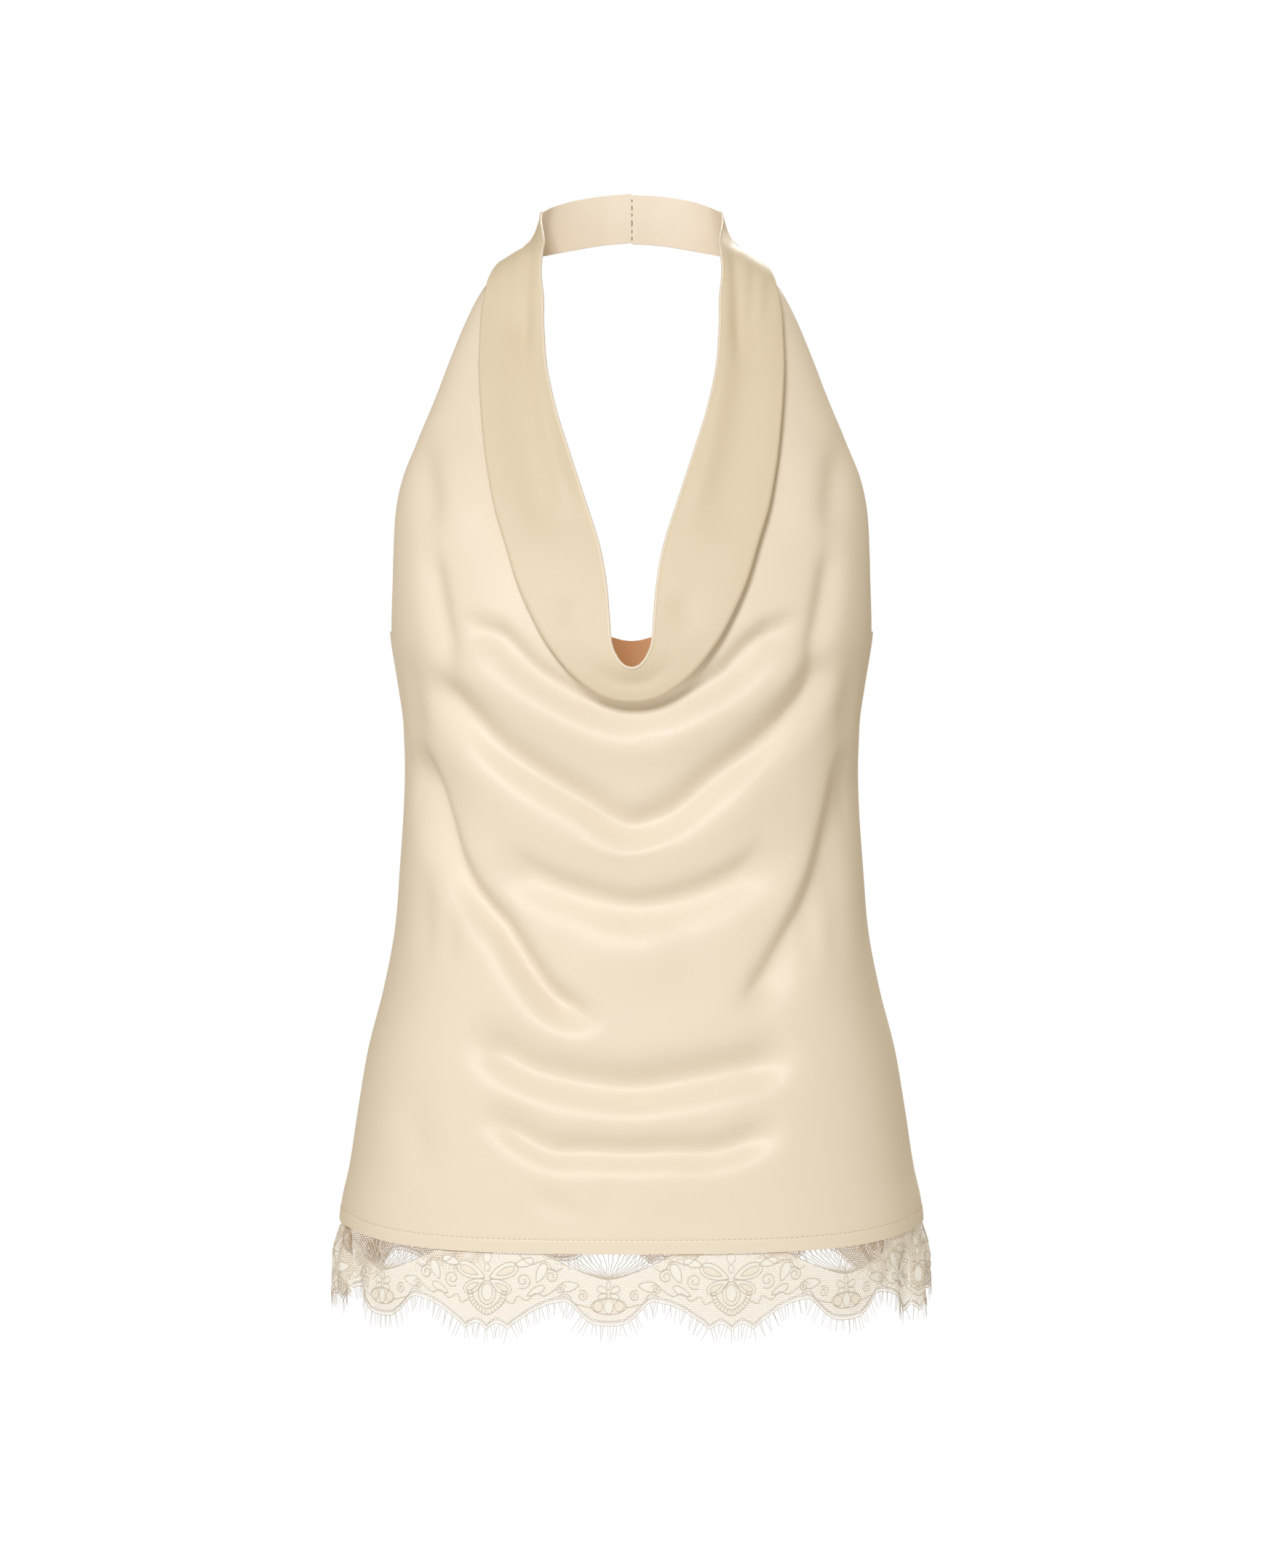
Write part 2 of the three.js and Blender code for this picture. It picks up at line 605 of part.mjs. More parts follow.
function measureLace() {
  const steps = 360;
  const last = formPoint(0, LACE_RING_Z);
  let ring = 0;
  const rings = [{ angle: 0, ring }];
  for (let i = 1; i <= steps; i += 1) {
    const angle = (Math.PI * i) / steps;
    const next = formPoint(angle, LACE_RING_Z);
    ring += next.distanceTo(last);
    last.copy(next);
    rings.push({ angle, ring });
  }
  const waving = (at) => smoothstep(at, WAVES_FROM, WAVES_FROM + LACE_WAVE)
    * (1 - smoothstep(at, WAVES_TO - LACE_WAVE, WAVES_TO));
  const waved = rings.slice(1).reduce((sum, at, i) => sum + waving(at.ring) * (at.ring - rings[i].ring), 0);
  const slack = LACE_SLACK / waved;
  let run = 0;
  rings.forEach((at, i) => {
    run += i === 0 ? 0 : (at.ring - rings[i - 1].ring) * (1 + slack * waving(at.ring));
    const swing = (LACE_WAVE / Math.PI) * Math.sqrt(slack * waving(at.ring));
    const wave = swing * Math.cos((2 * Math.PI * (at.ring - WAVES_FROM)) / LACE_WAVE);
    laceTurns.push({ run, angle: at.angle, wave });
  });
}

function laceTurn(run) {
  const whole = 2 * laceTurns[laceTurns.length - 1].run;
  const back = run > whole / 2;
  const short = Math.abs(back ? run - whole : run);
  let i = 0;
  while (i < laceTurns.length - 2 && laceTurns[i + 1].run < short) {
    i += 1;
  }
  const a = laceTurns[i];
  const b = laceTurns[i + 1];
  const t = clamp((short - a.run) / (b.run - a.run), 0, 1);
  const angle = lerp(a.angle, b.angle, t) * (run < 0 ? -1 : 1);
  return { angle: back ? 2 * Math.PI - angle : angle, wave: lerp(a.wave, b.wave, t) };
}

function lacePoint(run, z, off = 0) {
  const { angle, wave } = laceTurn(run);
  const free = smoothstep(hemZ(angle) - z, LACE_FREE_FROM, LACE_FREE_TO);
  return lifted(angle, z, wave * free + off);
}

// Where the large flower of the repeat sits, and the scalloped edge below the valleys.
function inRepeat(run) {
  const from = run - LARGE_MOTIF_X;
  return Math.abs(from - LACE_REPEAT * Math.round(from / LACE_REPEAT));
}

function scallopZ(run) {
  const from = inRepeat(run);
  const next = LACE_EDGE.findIndex((row) => row.from >= from - TINY);
  if (next < 1) {
    return VALLEY_Z - LACE_EDGE[0].depth;
  }
  const a = LACE_EDGE[next - 1];
  const b = LACE_EDGE[next];
  return VALLEY_Z - lerp(a.depth, b.depth, (from - a.from) / (b.from - a.from));
}

// Places along the lace where its edge turns, between two ends.
function laceRuns(start, end) {
  const runs = [start];
  const first = Math.floor((start - LARGE_MOTIF_X) / LACE_REPEAT) - 1;
  const last = Math.ceil((end - LARGE_MOTIF_X) / LACE_REPEAT) + 1;
  for (let repeat = first; repeat <= last; repeat += 1) {
    const centre = LARGE_MOTIF_X + repeat * LACE_REPEAT;
    const offs = LACE_EDGE.map((row) => row.from);
    const left = offs.slice(1, -1).map((off) => -off).reverse();
    for (const off of [...left, ...offs]) {
      const run = centre + off;
      if (run > start + LACE_END && run < end - LACE_END) {
        runs.push(run);
      }
    }
  }
  return [...runs, end];
}

function laceGrid(start, end) {
  const runs = laceRuns(start, end);
  const grid = [];
  for (let row = 0; row <= LACE_ROWS; row += 1) {
    grid.push(runs.map((run) => {
      const top = hemZ(laceTurn(run).angle) - LACE_GAP;
      return lacePoint(run, lerp(top, scallopZ(run), row / LACE_ROWS));
    }));
  }
  return grid;
}

// Openwork: the wide gaps of one repeat, as outlines of run and height.
function oval({ at, z, wide, high, sides }) {
  const outline = [];
  for (let i = 0; i < sides; i += 1) {
    const turn = (2 * Math.PI * (i + 0.5)) / sides;
    outline.push([at + (wide / 2) * Math.cos(turn), z + (high / 2) * Math.sin(turn)]);
  }
  return outline;
}

function fanSlot(degrees) {
  const at = (off, reach) => {
    const turn = THREE.MathUtils.degToRad(degrees + off);
    const { at: centre, z, wide, high } = FAN;
    return [centre + wide * reach * Math.sin(turn), z + high * reach * Math.cos(turn)];
  };
  const { slot, inner } = FAN;
  return [at(slot, inner), at(slot, 1), at(-slot, 1), at(-slot, inner)];
}

function solidOf(geometry) {
  const plain = geometry.clone();
  plain.deleteAttribute("normal");
  plain.deleteAttribute("uv");
  const merged = mergeVertices(plain);
  const vertProperties = new Float32Array(merged.getAttribute("position").array);
  const triVerts = new Uint32Array(merged.getIndex().array);
  return new wasm.Manifold(new wasm.Mesh({ numProp: 3, vertProperties, triVerts }));
}

function geometryOfSolid(solid) {
  const { vertProperties, triVerts } = solid.getMesh();
  const geometry = new THREE.BufferGeometry();
  geometry.setAttribute("position", new THREE.BufferAttribute(new Float32Array(vertProperties), 3));
  geometry.setIndex([...triVerts]);
  return geometry;
}

function cutter(outline, shift) {
  const side = (off) => outline.map(([at, z]) => lacePoint(at + shift, z, off));
  const points = [...side(CUT_REACH), ...side(-CUT_REACH)];
  const n = outline.length;
  const faces = [];
  for (let i = 1; i < n - 1; i += 1) {
    faces.push(0, i, i + 1, n, n + i + 1, n + i);
  }
  for (let i = 0; i < n; i += 1) {
    const next = (i + 1) % n;
    faces.push(i, n + i, n + next, i, n + next, next);
  }
  return solidOf(geometryOf(points, faces));
}

function laceGeometry(start, end) {
  let solid = solidOf(wallGeometry(laceGrid(start, end), LACE_WALL));
  const outlines = [...OVALS.map(oval), ...FAN_TURNS.map(fanSlot)];
  const first = Math.floor((start - LARGE_MOTIF_X) / LACE_REPEAT) - 1;
  const last = Math.ceil((end - LARGE_MOTIF_X) / LACE_REPEAT);
  for (let repeat = first; repeat <= last; repeat += 1) {
    const shift = LARGE_MOTIF_X + repeat * LACE_REPEAT;
    for (const outline of outlines) {
      const runs = outline.map(([at]) => at + shift);
      if (Math.min(...runs) > start + LACE_END && Math.max(...runs) < end - LACE_END) {
        solid = solid.subtract(cutter(outline, shift));
      }
    }
  }
  return geometryOfSolid(solid);
}

// Eyelash fringe: a narrow strip along the scalloped edge, with threads hanging from it.
function fringeGeometry(start, end) {
  const turns = laceRuns(start, end);
  const long = turns.slice(1).filter((run, i) => run - turns[i] > EYELASH_SPACE);
  const between = long.map((run) => run - EYELASH_SPACE / 2);
  const roots = [...turns, ...between].filter((run) => run > start && run < end - EYELASH_ROOT);
  roots.sort((a, b) => a - b);
  const stations = [{ run: start + SEAM_GAP / 2 }];
  roots.forEach((run, i) => {
    stations.push({ run, lash: i });
    stations.push({ run: run + EYELASH_ROOT });
  });
  stations.push({ run: end - SEAM_GAP / 2 });
  const points = [];
  const half = STRIP_WALL / 2;
  for (const { run } of stations) {
    const top = scallopZ(run) - STRIP_GAP;
    const low = top - STRIP_WIDTH;
    for (const [z, off] of [[top, half], [top, -half], [low, -half], [low, half]]) {
      points.push(lacePoint(run, z, off));
    }
  }
  const faces = [];
  const quad = (a, b, c, d) => faces.push(a, b, c, a, c, d);
  stations.slice(1).forEach((station, i) => {
    const a = 4 * i;
    const b = a + 4;
    quad(a, b, b + 1, a + 1);
    quad(a + 1, b + 1, b + 2, a + 2);
    quad(a + 3, b + 3, b, a);
    const { run, lash } = stations[i];
    if (lash === undefined) {
      quad(a + 2, b + 2, b + 3, a + 3);
      return;
    }
    const middle = run + EYELASH_ROOT / 2;
    const drop = scallopZ(middle - SLOPE_STEP) - scallopZ(middle + SLOPE_STEP);
    const slope = drop / (2 * SLOPE_STEP);
    const length = EYELASH * (1 + EYELASH_UNEVEN * Math.sin(EYELASH_BEAT * lash));
    const z = scallopZ(middle) - length;
    const tip = points.push(lacePoint(middle - slope * EYELASH_LEAN * length, z)) - 1;
    faces.push(a + 2, b + 2, tip, b + 2, b + 3, tip, b + 3, a + 3, tip, a + 3, a + 2, tip);
  });
  const last = 4 * (stations.length - 1);
  faces.push(0, 1, 2, 0, 2, 3);
  faces.push(last, last + 2, last + 1, last, last + 3, last + 2);
  return geometryOf(points, faces);
}

measureLace();

const satin = (name) => new THREE.MeshStandardMaterial({
  name, color: SATIN_COLOUR, roughness: SATIN_ROUGHNESS,
});
const lace = (name) => new THREE.MeshStandardMaterial({
  name, color: LACE_COLOUR, roughness: LACE_ROUGHNESS,
});

const group = new THREE.Group();

function addPiece(name, geometry, material) {
  const mesh = new THREE.Mesh(geometry, material);
  mesh.name = name;
  group.add(mesh);
}

const front = frontGrid();
const shoulderRows = front.slice(0, BAND_ROWS + foldSteps(0).length + 1);
const rightShoulder = shoulderRows.map((row) => row[0]);
const leftShoulder = shoulderRows.map((row) => row[row.length - 1]);

addPiece("front", wallGeometry(front, SATIN_WALL), satin("front satin"));
addPiece("back", wallGeometry(backGrid(), SATIN_WALL), satin("back satin"));
addPiece("strap_left", wallGeometry(strapGrid(1, leftShoulder), STRAP_WALL), satin("strap satin"));
addPiece("strap_right", wallGeometry(strapGrid(-1, rightShoulder), STRAP_WALL), satin("strap satin"));

const laceHalf = laceTurns[laceTurns.length - 1].run;
const seamTurn = laceTurns.find(({ angle }) => angle >= seamAngle(LACE_RING_Z));
const laceSeam = seamTurn.run;
const gap = LACE_SEAM_GAP / 2;
const spans = {
  front: [-laceSeam + gap, laceSeam - gap],
  back: [laceSeam + gap, 2 * laceHalf - laceSeam - gap],
};
for (const [name, [start, end]] of Object.entries(spans)) {
  addPiece(`lace_${name}`, laceGeometry(start, end), lace("lace"));
  addPiece(`fringe_${name}`, fringeGeometry(start, end), lace("eyelash fringe"));
}

export default group;
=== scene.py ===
# A halter neck top in cream satin: a cowl front gathered into a neck strap, a plain low back, and
# an eyelash lace under a topstitched hem. Metres, +Z up, the front faces -Y, left is +X.

import math

import bpy
import numpy as np
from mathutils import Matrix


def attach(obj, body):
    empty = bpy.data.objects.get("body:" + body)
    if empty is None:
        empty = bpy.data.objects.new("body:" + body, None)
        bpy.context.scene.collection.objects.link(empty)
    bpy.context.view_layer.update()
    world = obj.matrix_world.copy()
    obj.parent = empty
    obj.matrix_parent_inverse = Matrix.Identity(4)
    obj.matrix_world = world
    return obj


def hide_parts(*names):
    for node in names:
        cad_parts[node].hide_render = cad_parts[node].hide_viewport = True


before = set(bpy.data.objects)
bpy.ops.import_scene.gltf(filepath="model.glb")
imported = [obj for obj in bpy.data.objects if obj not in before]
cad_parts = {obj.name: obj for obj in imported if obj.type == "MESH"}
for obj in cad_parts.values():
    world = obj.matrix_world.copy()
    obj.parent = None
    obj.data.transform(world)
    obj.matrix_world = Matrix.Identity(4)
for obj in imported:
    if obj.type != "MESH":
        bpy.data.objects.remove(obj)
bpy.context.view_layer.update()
bpy.ops.object.select_all(action="DESELECT")

# Camera: level, straight in front of the top, far enough back to keep its sides nearly parallel.
PHOTO_HIGH = 2155
PHOTO_STEP = 0.000475
CAMERA_AWAY = 2.0
BODY_MIDDLE = -0.075
CAMERA_Z = -0.3824
SENSOR = 36

bpy.ops.object.camera_add(location=(0, BODY_MIDDLE - CAMERA_AWAY, CAMERA_Z), rotation=(math.pi / 2, 0, 0))
camera = bpy.context.object
camera.data.sensor_width = SENSOR
camera.data.lens = SENSOR * CAMERA_AWAY / (PHOTO_HIGH * PHOTO_STEP)
camera.data.clip_end = 50
bpy.context.scene.camera = camera
bpy.context.scene.view_settings.view_transform = "Standard"

# Studio: a white room, one wide soft lamp high in front, and weaker ones low, at both sides and
# behind.
FLOOR_Z = -1.4
FLOOR_WIDE = 3
FLOOR_COLOUR = (0.95, 0.95, 0.95, 1)
FLOOR_ROUGH = 0.9
ROOM_GLOW = 0.36
ROOM_TINT = (1, 0.82, 0.5, 1)
LAMP_TINT = (0.93, 0.965, 1)
LAMPS = (
    # name, place, aimed at, width, watts
    ("lamp_high", (-0.7, -3.4, 1.4), (0, -0.1, -0.45), 1.0, 86),
    ("lamp_front", (0.2, -3.4, -0.9), (0, -0.1, -0.5), 1.6, 5),
    ("lamp_left", (2.2, -0.8, 0.2), (0.1, -0.1, -0.4), 1.0, 6),
    ("lamp_right", (-2.2, -0.8, 0.2), (-0.1, -0.1, -0.4), 1.0, 6),
    ("lamp_back", (0.7, 2.9, 1.9), (0, 0, -0.45), 1.2, 60),
)


def aim(place, target):
    away = np.subtract(place, target)
    tilt = math.atan2(math.hypot(away[0], away[1]), away[2])
    return tilt, 0, math.atan2(away[1], away[0]) + math.pi / 2


for name, place, target, width, watts in LAMPS:
    bpy.ops.object.light_add(type="AREA", location=place, rotation=aim(place, target))
    lamp = bpy.context.object
    lamp.name = name
    lamp.data.size = width
    lamp.data.energy = watts
    lamp.data.color = LAMP_TINT

room = bpy.data.worlds.new("white_room")
bpy.context.scene.world = room
room.use_nodes = True
room_nodes = room.node_tree.nodes
room_links = room.node_tree.links
seen_room = room_nodes["Background"]
seen_room.inputs["Color"].default_value = (1, 1, 1, 1)
lit_room = room_nodes.new("ShaderNodeBackground")
lit_room.inputs["Color"].default_value = ROOM_TINT
lit_room.inputs["Strength"].default_value = ROOM_GLOW
room_ray = room_nodes.new("ShaderNodeLightPath")
room_mix = room_nodes.new("ShaderNodeMixShader")
room_links.new(room_ray.outputs["Is Camera Ray"], room_mix.inputs["Fac"])
room_links.new(lit_room.outputs[0], room_mix.inputs[1])
room_links.new(seen_room.outputs[0], room_mix.inputs[2])
room_links.new(room_mix.outputs[0], room_nodes["World Output"].inputs["Surface"])

bpy.ops.mesh.primitive_plane_add(size=FLOOR_WIDE, location=(0, 0, FLOOR_Z))
floor = bpy.context.object
floor.name = "floor"
floor_paint = bpy.data.materials.new("floor_paint")
floor_paint.use_nodes = True
floor_shader = floor_paint.node_tree.nodes["Principled BSDF"]
floor_shader.inputs["Base Color"].default_value = FLOOR_COLOUR
floor_shader.inputs["Roughness"].default_value = FLOOR_ROUGH
floor.data.materials.append(floor_paint)

# The worn form: the hollow shape that the cloth keeps. Each row is a level of it.
LEVELS = np.array((
    # height, half width, y of the side line, y of the centre front, depth of the back
    (0.012, 0.054, -0.019, -0.066, 0.010),
    (-0.003, 0.058, -0.020, -0.072, 0.012),
    (-0.018, 0.062, -0.022, -0.076, 0.014),
    (-0.029, 0.070, -0.025, -0.079, 0.015),
    (-0.037, 0.081, -0.028, -0.081, 0.017),
    (-0.046, 0.092, -0.033, -0.083, 0.020),
    (-0.056, 0.100, -0.040, -0.086, 0.026),
    (-0.077, 0.110, -0.050, -0.094, 0.040),
    (-0.107, 0.121, -0.062, -0.110, 0.062),
    (-0.132, 0.1295, -0.071, -0.125, 0.078),
    (-0.158, 0.140, -0.076, -0.139, 0.088),
    (-0.186, 0.1505, -0.077, -0.154, 0.096),
    (-0.214, 0.156, -0.077, -0.168, 0.101),
    (-0.250, 0.1575, -0.075, -0.182, 0.104),
    (-0.284, 0.157, -0.075, -0.190, 0.105),
    (-0.317, 0.152, -0.075, -0.193, 0.101),
    (-0.345, 0.1482, -0.075, -0.192, 0.097),
    (-0.393, 0.148, -0.075, -0.189, 0.093),
    (-0.440, 0.1508, -0.075, -0.188, 0.094),
    (-0.478, 0.154, -0.075, -0.190, 0.099),
    (-0.516, 0.1613, -0.075, -0.193, 0.107),
    (-0.554, 0.171, -0.075, -0.197, 0.114),
    (-0.592, 0.1775, -0.075, -0.200, 0.119),
    (-0.630, 0.1833, -0.075, -0.203, 0.122),
    (-0.650, 0.1878, -0.075, -0.204, 0.124),
    (-0.664, 0.1895, -0.075, -0.205, 0.125),
    (-0.690, 0.1895, -0.075, -0.206, 0.126),
    (-0.730, 0.191, -0.075, -0.208, 0.128),
))
FRONT_FULLNESS = 0.3
BACK_FULLNESS = 0.22
UNDERARM_Z = -0.284
SIDE_HEM_Z = -0.664
FRONT_HEM_Z = -0.6695
HEM_SEAM_ANGLE = math.radians(70)
WIDEST_SHARE = 0.995
ARMHOLE = np.array((
    # height, x of the front's edge
    (-0.031, 0.069), (-0.038, 0.080), (-0.046, 0.0895), (-0.055, 0.0975), (-0.077, 0.108),
    (-0.107, 0.119), (-0.128, 0.126), (-0.148, 0.1335), (-0.167, 0.1415), (-0.186, 0.148),
    (-0.205, 0.1515), (-0.234, 0.1528), (-0.253, 0.1532), (-0.284, 0.1543),
))


def smoothstep(value, low, high):
    t = np.clip((value - low) / (high - low), 0, 1)
    return t * t * (3 - 2 * t)


def mix(a, b, share):
    return a + (b - a) * share


def smooth_line(keys, values, at):
    """A smooth value at each place of a table whose keys rise or fall."""
    if keys[1] < keys[0]:
        keys, values = keys[::-1], values[::-1]
    at = np.clip(at, keys[0], keys[-1])
    last = len(keys) - 1
    i = np.clip(np.searchsorted(keys, at, side="right") - 1, 0, last - 1)
    before = np.maximum(np.arange(last + 1) - 1, 0)
    after = np.minimum(np.arange(last + 1) + 1, last)
    slope = (values[after] - values[before]) / (keys[after] - keys[before])
    span = keys[i + 1] - keys[i]
    t = (at - keys[i]) / span
    curve = t * (1 - t) ** 2 * span * slope[i] + t * t * (t - 1) * span * slope[i + 1]
    return mix(values[i], values[i + 1], t * t * (3 - 2 * t)) + curve


def form_point(angle, z):
    """A place on the worn form: angle 0 is the front, and the left is positive."""
    angle, z = np.broadcast_arrays(np.asarray(angle, float), np.asarray(z, float))
    half, side, front, back = (smooth_line(LEVELS[:, 0], LEVELS[:, k], z) for k in (1, 2, 3, 4))
    across, ahead = np.sin(angle), np.cos(angle)
    before = (front - side) * ahead * (1 + FRONT_FULLNESS * across ** 2)
    behind = -back * ahead * (1 + BACK_FULLNESS * across ** 2)
    return np.stack([half * across, side + np.where(ahead > 0, before, behind), z], -1)


def unit(vectors):
    return vectors / np.maximum(np.linalg.norm(vectors, axis=-1, keepdims=True), 1e-12)


def form_normal(angle, z):
    round_it = form_point(angle + 0.01, z) - form_point(angle - 0.01, z)
    up = form_point(angle, z + 0.001) - form_point(angle, z - 0.001)
    return unit(np.cross(round_it, up))


def lifted(angle, z, lift):
    return form_point(angle, z) + form_normal(angle, z) * np.asarray(lift)[..., None]


def armhole_angle(z):
    half = smooth_line(LEVELS[:, 0], LEVELS[:, 1], z)
    share = smooth_line(ARMHOLE[:, 0], ARMHOLE[:, 1], z) / half
    return np.arcsin(np.clip(share, 0, WIDEST_SHARE))


def seam_angle(z):
    down = np.clip((UNDERARM_Z - z) / (UNDERARM_Z - SIDE_HEM_Z), 0, 2)
    return mix(armhole_angle(np.array(UNDERARM_Z)), HEM_SEAM_ANGLE, down)


def hem_z(angle):
    share = np.maximum(0, np.cos(angle) - math.cos(HEM_SEAM_ANGLE)) / (1 - math.cos(HEM_SEAM_ANGLE))
    return mix(SIDE_HEM_Z, FRONT_HEM_Z, np.sin(share * math.pi / 2))


# Front: one piece of satin. It falls from the neck edge as the cowl, turns up behind the cowl's
# lip, then falls again as the body, pulled into swags by the weight of the cowl.
NECK_EDGE = np.array((
    # x, z, how far the cloth stands off the worn form
    (0, -0.3118, 0.0115), (0.0046, -0.3104, 0.0113), (0.009, -0.3055, 0.0108), (0.0126, -0.2968, 0.0098),
    (0.0142, -0.281, 0.0086), (0.016, -0.260, 0.0076), (0.0205, -0.235, 0.007),
    (0.0285, -0.209, 0.007), (0.039, -0.176, 0.007),
    (0.0485, -0.145, 0.007), (0.0545, -0.117, 0.007), (0.057, -0.088, 0.007), (0.058, -0.062, 0.006),
    (0.0585, -0.036, 0.005), (0.0593, -0.016, 0.004), (0.060, -0.001, 0.003),
))
LIP = np.array((
    (0, -0.3298, 0.0066), (0.010, -0.3287, 0.0067), (0.020, -0.3248, 0.0074), (0.035, -0.3135, 0.0086),
    (0.050, -0.295, 0.0092), (0.061, -0.275, 0.0092), (0.070, -0.254, 0.0092), (0.0775, -0.229, 0.0092),
    (0.084, -0.2075, 0.0092), (0.089, -0.182, 0.0092), (0.093, -0.1525, 0.0092), (0.096, -0.119, 0.009),
    (0.0965, -0.093, 0.008), (0.096, -0.072, 0.007), (0.094, -0.057, 0.0065), (0.0895, -0.041, 0.006),
    (0.0795, -0.030, 0.005), (0.0685, -0.022, 0.0045),
))
NECK_CROWDING = 1.35
LIP_CROWDING = 1.05
FOLD_RADIUS = 0.0023
FOLD_RETURN = 0.0045
FOLD_OPEN = 0.011
FOLD_SLOPE = 0.04
FOLD_SHOULDER = 0.5
FOLD_TAPER = (0.8, 0.93)
ARMHOLE_SHARE = 0.4
FRONT_COLUMNS = 200
BAND_ROWS = 40
# how many rows of the lip's roll below the band also take the band's colour, as a painted shadow under the lip
PAINTED_SHADE_ROWS_BELOW_LIP = 6
BODY_ROWS = 128
HEM_ROWS = 20
HEM_ROWS_HIGH = 0.012
HEM_STITCH_UP = 0.0085
HEM_SWELL = 0.00025
STITCH_GROOVE = 0.0002
SATIN_THICK = 0.0005

CREASES = (
    # path of x and z as seen from in front, rise (+) or dip (-), half width, lean, on both sides
    (((-112, -276), (-93, -285), (-81, -290), (-69, -302), (-60, -311), (-51, -317), (-40, -324),
      (-26, -331), (-12, -335), (0, -336), (12, -335), (26, -331), (40, -324), (50, -318), (60, -311),
      (68, -302), (80, -291), (94, -284), (112, -276)), -7, 9, -0.35, False),
    (((-114, -292), (-89, -318), (-51, -342), (0, -360), (51, -342), (89, -318), (114, -292)),
     4, 14, 0, False),
    (((-132, -306), (-119, -324), (-100, -343), (-81, -361), (-51, -380), (-28, -393), (-11, -404),
      (0, -408), (11, -406), (28, -398), (52, -378), (76, -361), (98, -341), (116, -317), (129, -294)),
     -10, 10.5, 0, False),
    (((-118, -346), (-98, -372), (-65, -401), (-30, -418), (0, -425), (30, -419), (62, -402), (92, -374)),
     2.5, 15, 0, False),
    (((-86, -420), (-61, -438), (-33, -449), (0, -457), (28, -453), (52, -445), (74, -433), (88, -414)),
     -8, 12, -0.3, False),
    (((-40, -482), (0, -488), (40, -482)), 2.5, 22, 0, False),
    (((-140, -350), (-129, -388), (-118, -418), (-104, -444), (-92, -458), (-80, -470), (-65, -492),
      (-50, -511), (-34, -522), (-18, -534)), -12.5, 9.5, -0.25, False),
    (((-130, -356), (-119, -398), (-107, -434)), -3, 16, 0, False),
    (((141, -352), (134, -385), (125, -420), (113, -452), (99, -478), (84, -502), (66, -528)),
     -8.5, 11, 0.3, False),
    (((118, -410), (102, -446), (85, -478)), 2, 11, 0, False),
    (((-104, -530), (-84, -545), (-62, -557), (-34, -564), (0, -568), (30, -564), (62, -558),
      (84, -553), (104, -540)), -11.5, 13, 0, False),
    (((-98, -580), (-80, -590), (-50, -606), (-25, -607), (0, -608), (25, -607), (50, -607), (80, -598),
      (98, -588)), -8, 9.5, 0, False),
    (((-72, -630), (-50, -641), (-25, -651), (-6, -642)), -3, 8, 0, False),
    (((10, -640), (25, -650), (48, -656), (66, -652)), -2.4, 7, 0, False),
    (((133, -416), (130, -460), (127, -506)), -2.2, 9, 0, True),
    (((117, -446), (114, -476), (112, -506)), -1.6, 7, 0, True),
    (((139, -150), (129, -190), (123, -236)), -3.4, 9, 0, True),
    (((112, -150), (110, -190), (112, -240)), 2.4, 16, 0, True),
    (((128, -222), (123, -258), (116, -290), (109, -320)), -5, 8, 0, True),
    (((143, -292), (138, -330), (133, -368)), -2.4, 8, 0, True),
    (((4, -358), (14, -356), (24, -360)), -0.8, 3, 0, False),
    (((-46, -412), (-20, -423), (0, -426), (34, -414)), 0.9, 3.5, 0, False),
    (((-22, -652), (-30, -659), (-38, -664)), -0.8, 6, 0, False),
    (((-138, -566), (-134, -600), (-126, -636)), -2, 11, 0, False),
    (((-16, -622), (-13, -640), (-4, -656)), -1.4, 7, 0, False),
)
BACK_CREASES = (
    # the same kind of creases on the back, as seen from in front: small of the back, sides, hem
    (((-136, -352), (-96, -376), (-52, -390), (-8, -394)), -4.5, 13, 0, False),
    (((134, -362), (98, -382), (58, -396), (20, -402)), -4, 12, 0, False),
    (((-128, -398), (-84, -418), (-34, -430), (16, -432)), -3.5, 14, 0, False),
    (((126, -414), (84, -432), (44, -444)), -3, 12, 0, False),
    (((-120, -372), (-70, -404), (-20, -412), (40, -414), (104, -398)), 2, 15, 0, False),
    (((-148, -448), (-132, -500), (-122, -556)), -4, 12, 0, False),
    (((150, -440), (136, -506), (128, -566)), -4.5, 13, 0, False),
    (((-62, -470), (-70, -540), (-84, -622)), -3, 18, 0, False),
    (((54, -480), (66, -560), (74, -632)), -3.5, 20, 0, False),
    (((-100, -302), (-70, -316), (-30, -322)), -2.5, 11, 0, False),
    (((112, -300), (78, -318), (40, -326)), -2.2, 10, 0, False),
)
BAND_CREASES = (
    (((66, -12), (68, -40), (69, -80), (70, -120)), -2.6, 5, 0, True),
    (((80, -26), (79, -56), (77, -110)), -1.8, 5, 0, True),
    (((91, -38), (89, -66), (86, -105)), -1.2, 4.5, 0, True),
    (((72, -60), (72, -130), (62, -190), (48, -236)), -3.0, 13, 0, True),
    (((60, -40), (60, -110), (50, -170), (36, -220)), 1.8, 7, 0, True),
    (((26, -262), (34, -278), (40, -292)), -1.6, 11, 0, True),
    (((-30, -303), (-14, -317), (0, -321), (14, -317), (30, -303)), -1.8, 5, 0, False),
)
CREASE_END = 0.034
CREASE_END_SHARE = 0.45
CREASE_STEP = 0.006
CREASE_FADE = 3
HEM_CALM = (0.004, 0.04)
HEM_EDGE = 0.001
STITCH_GROOVE_WIDE = 0.0008
FOLD_STEP = 15


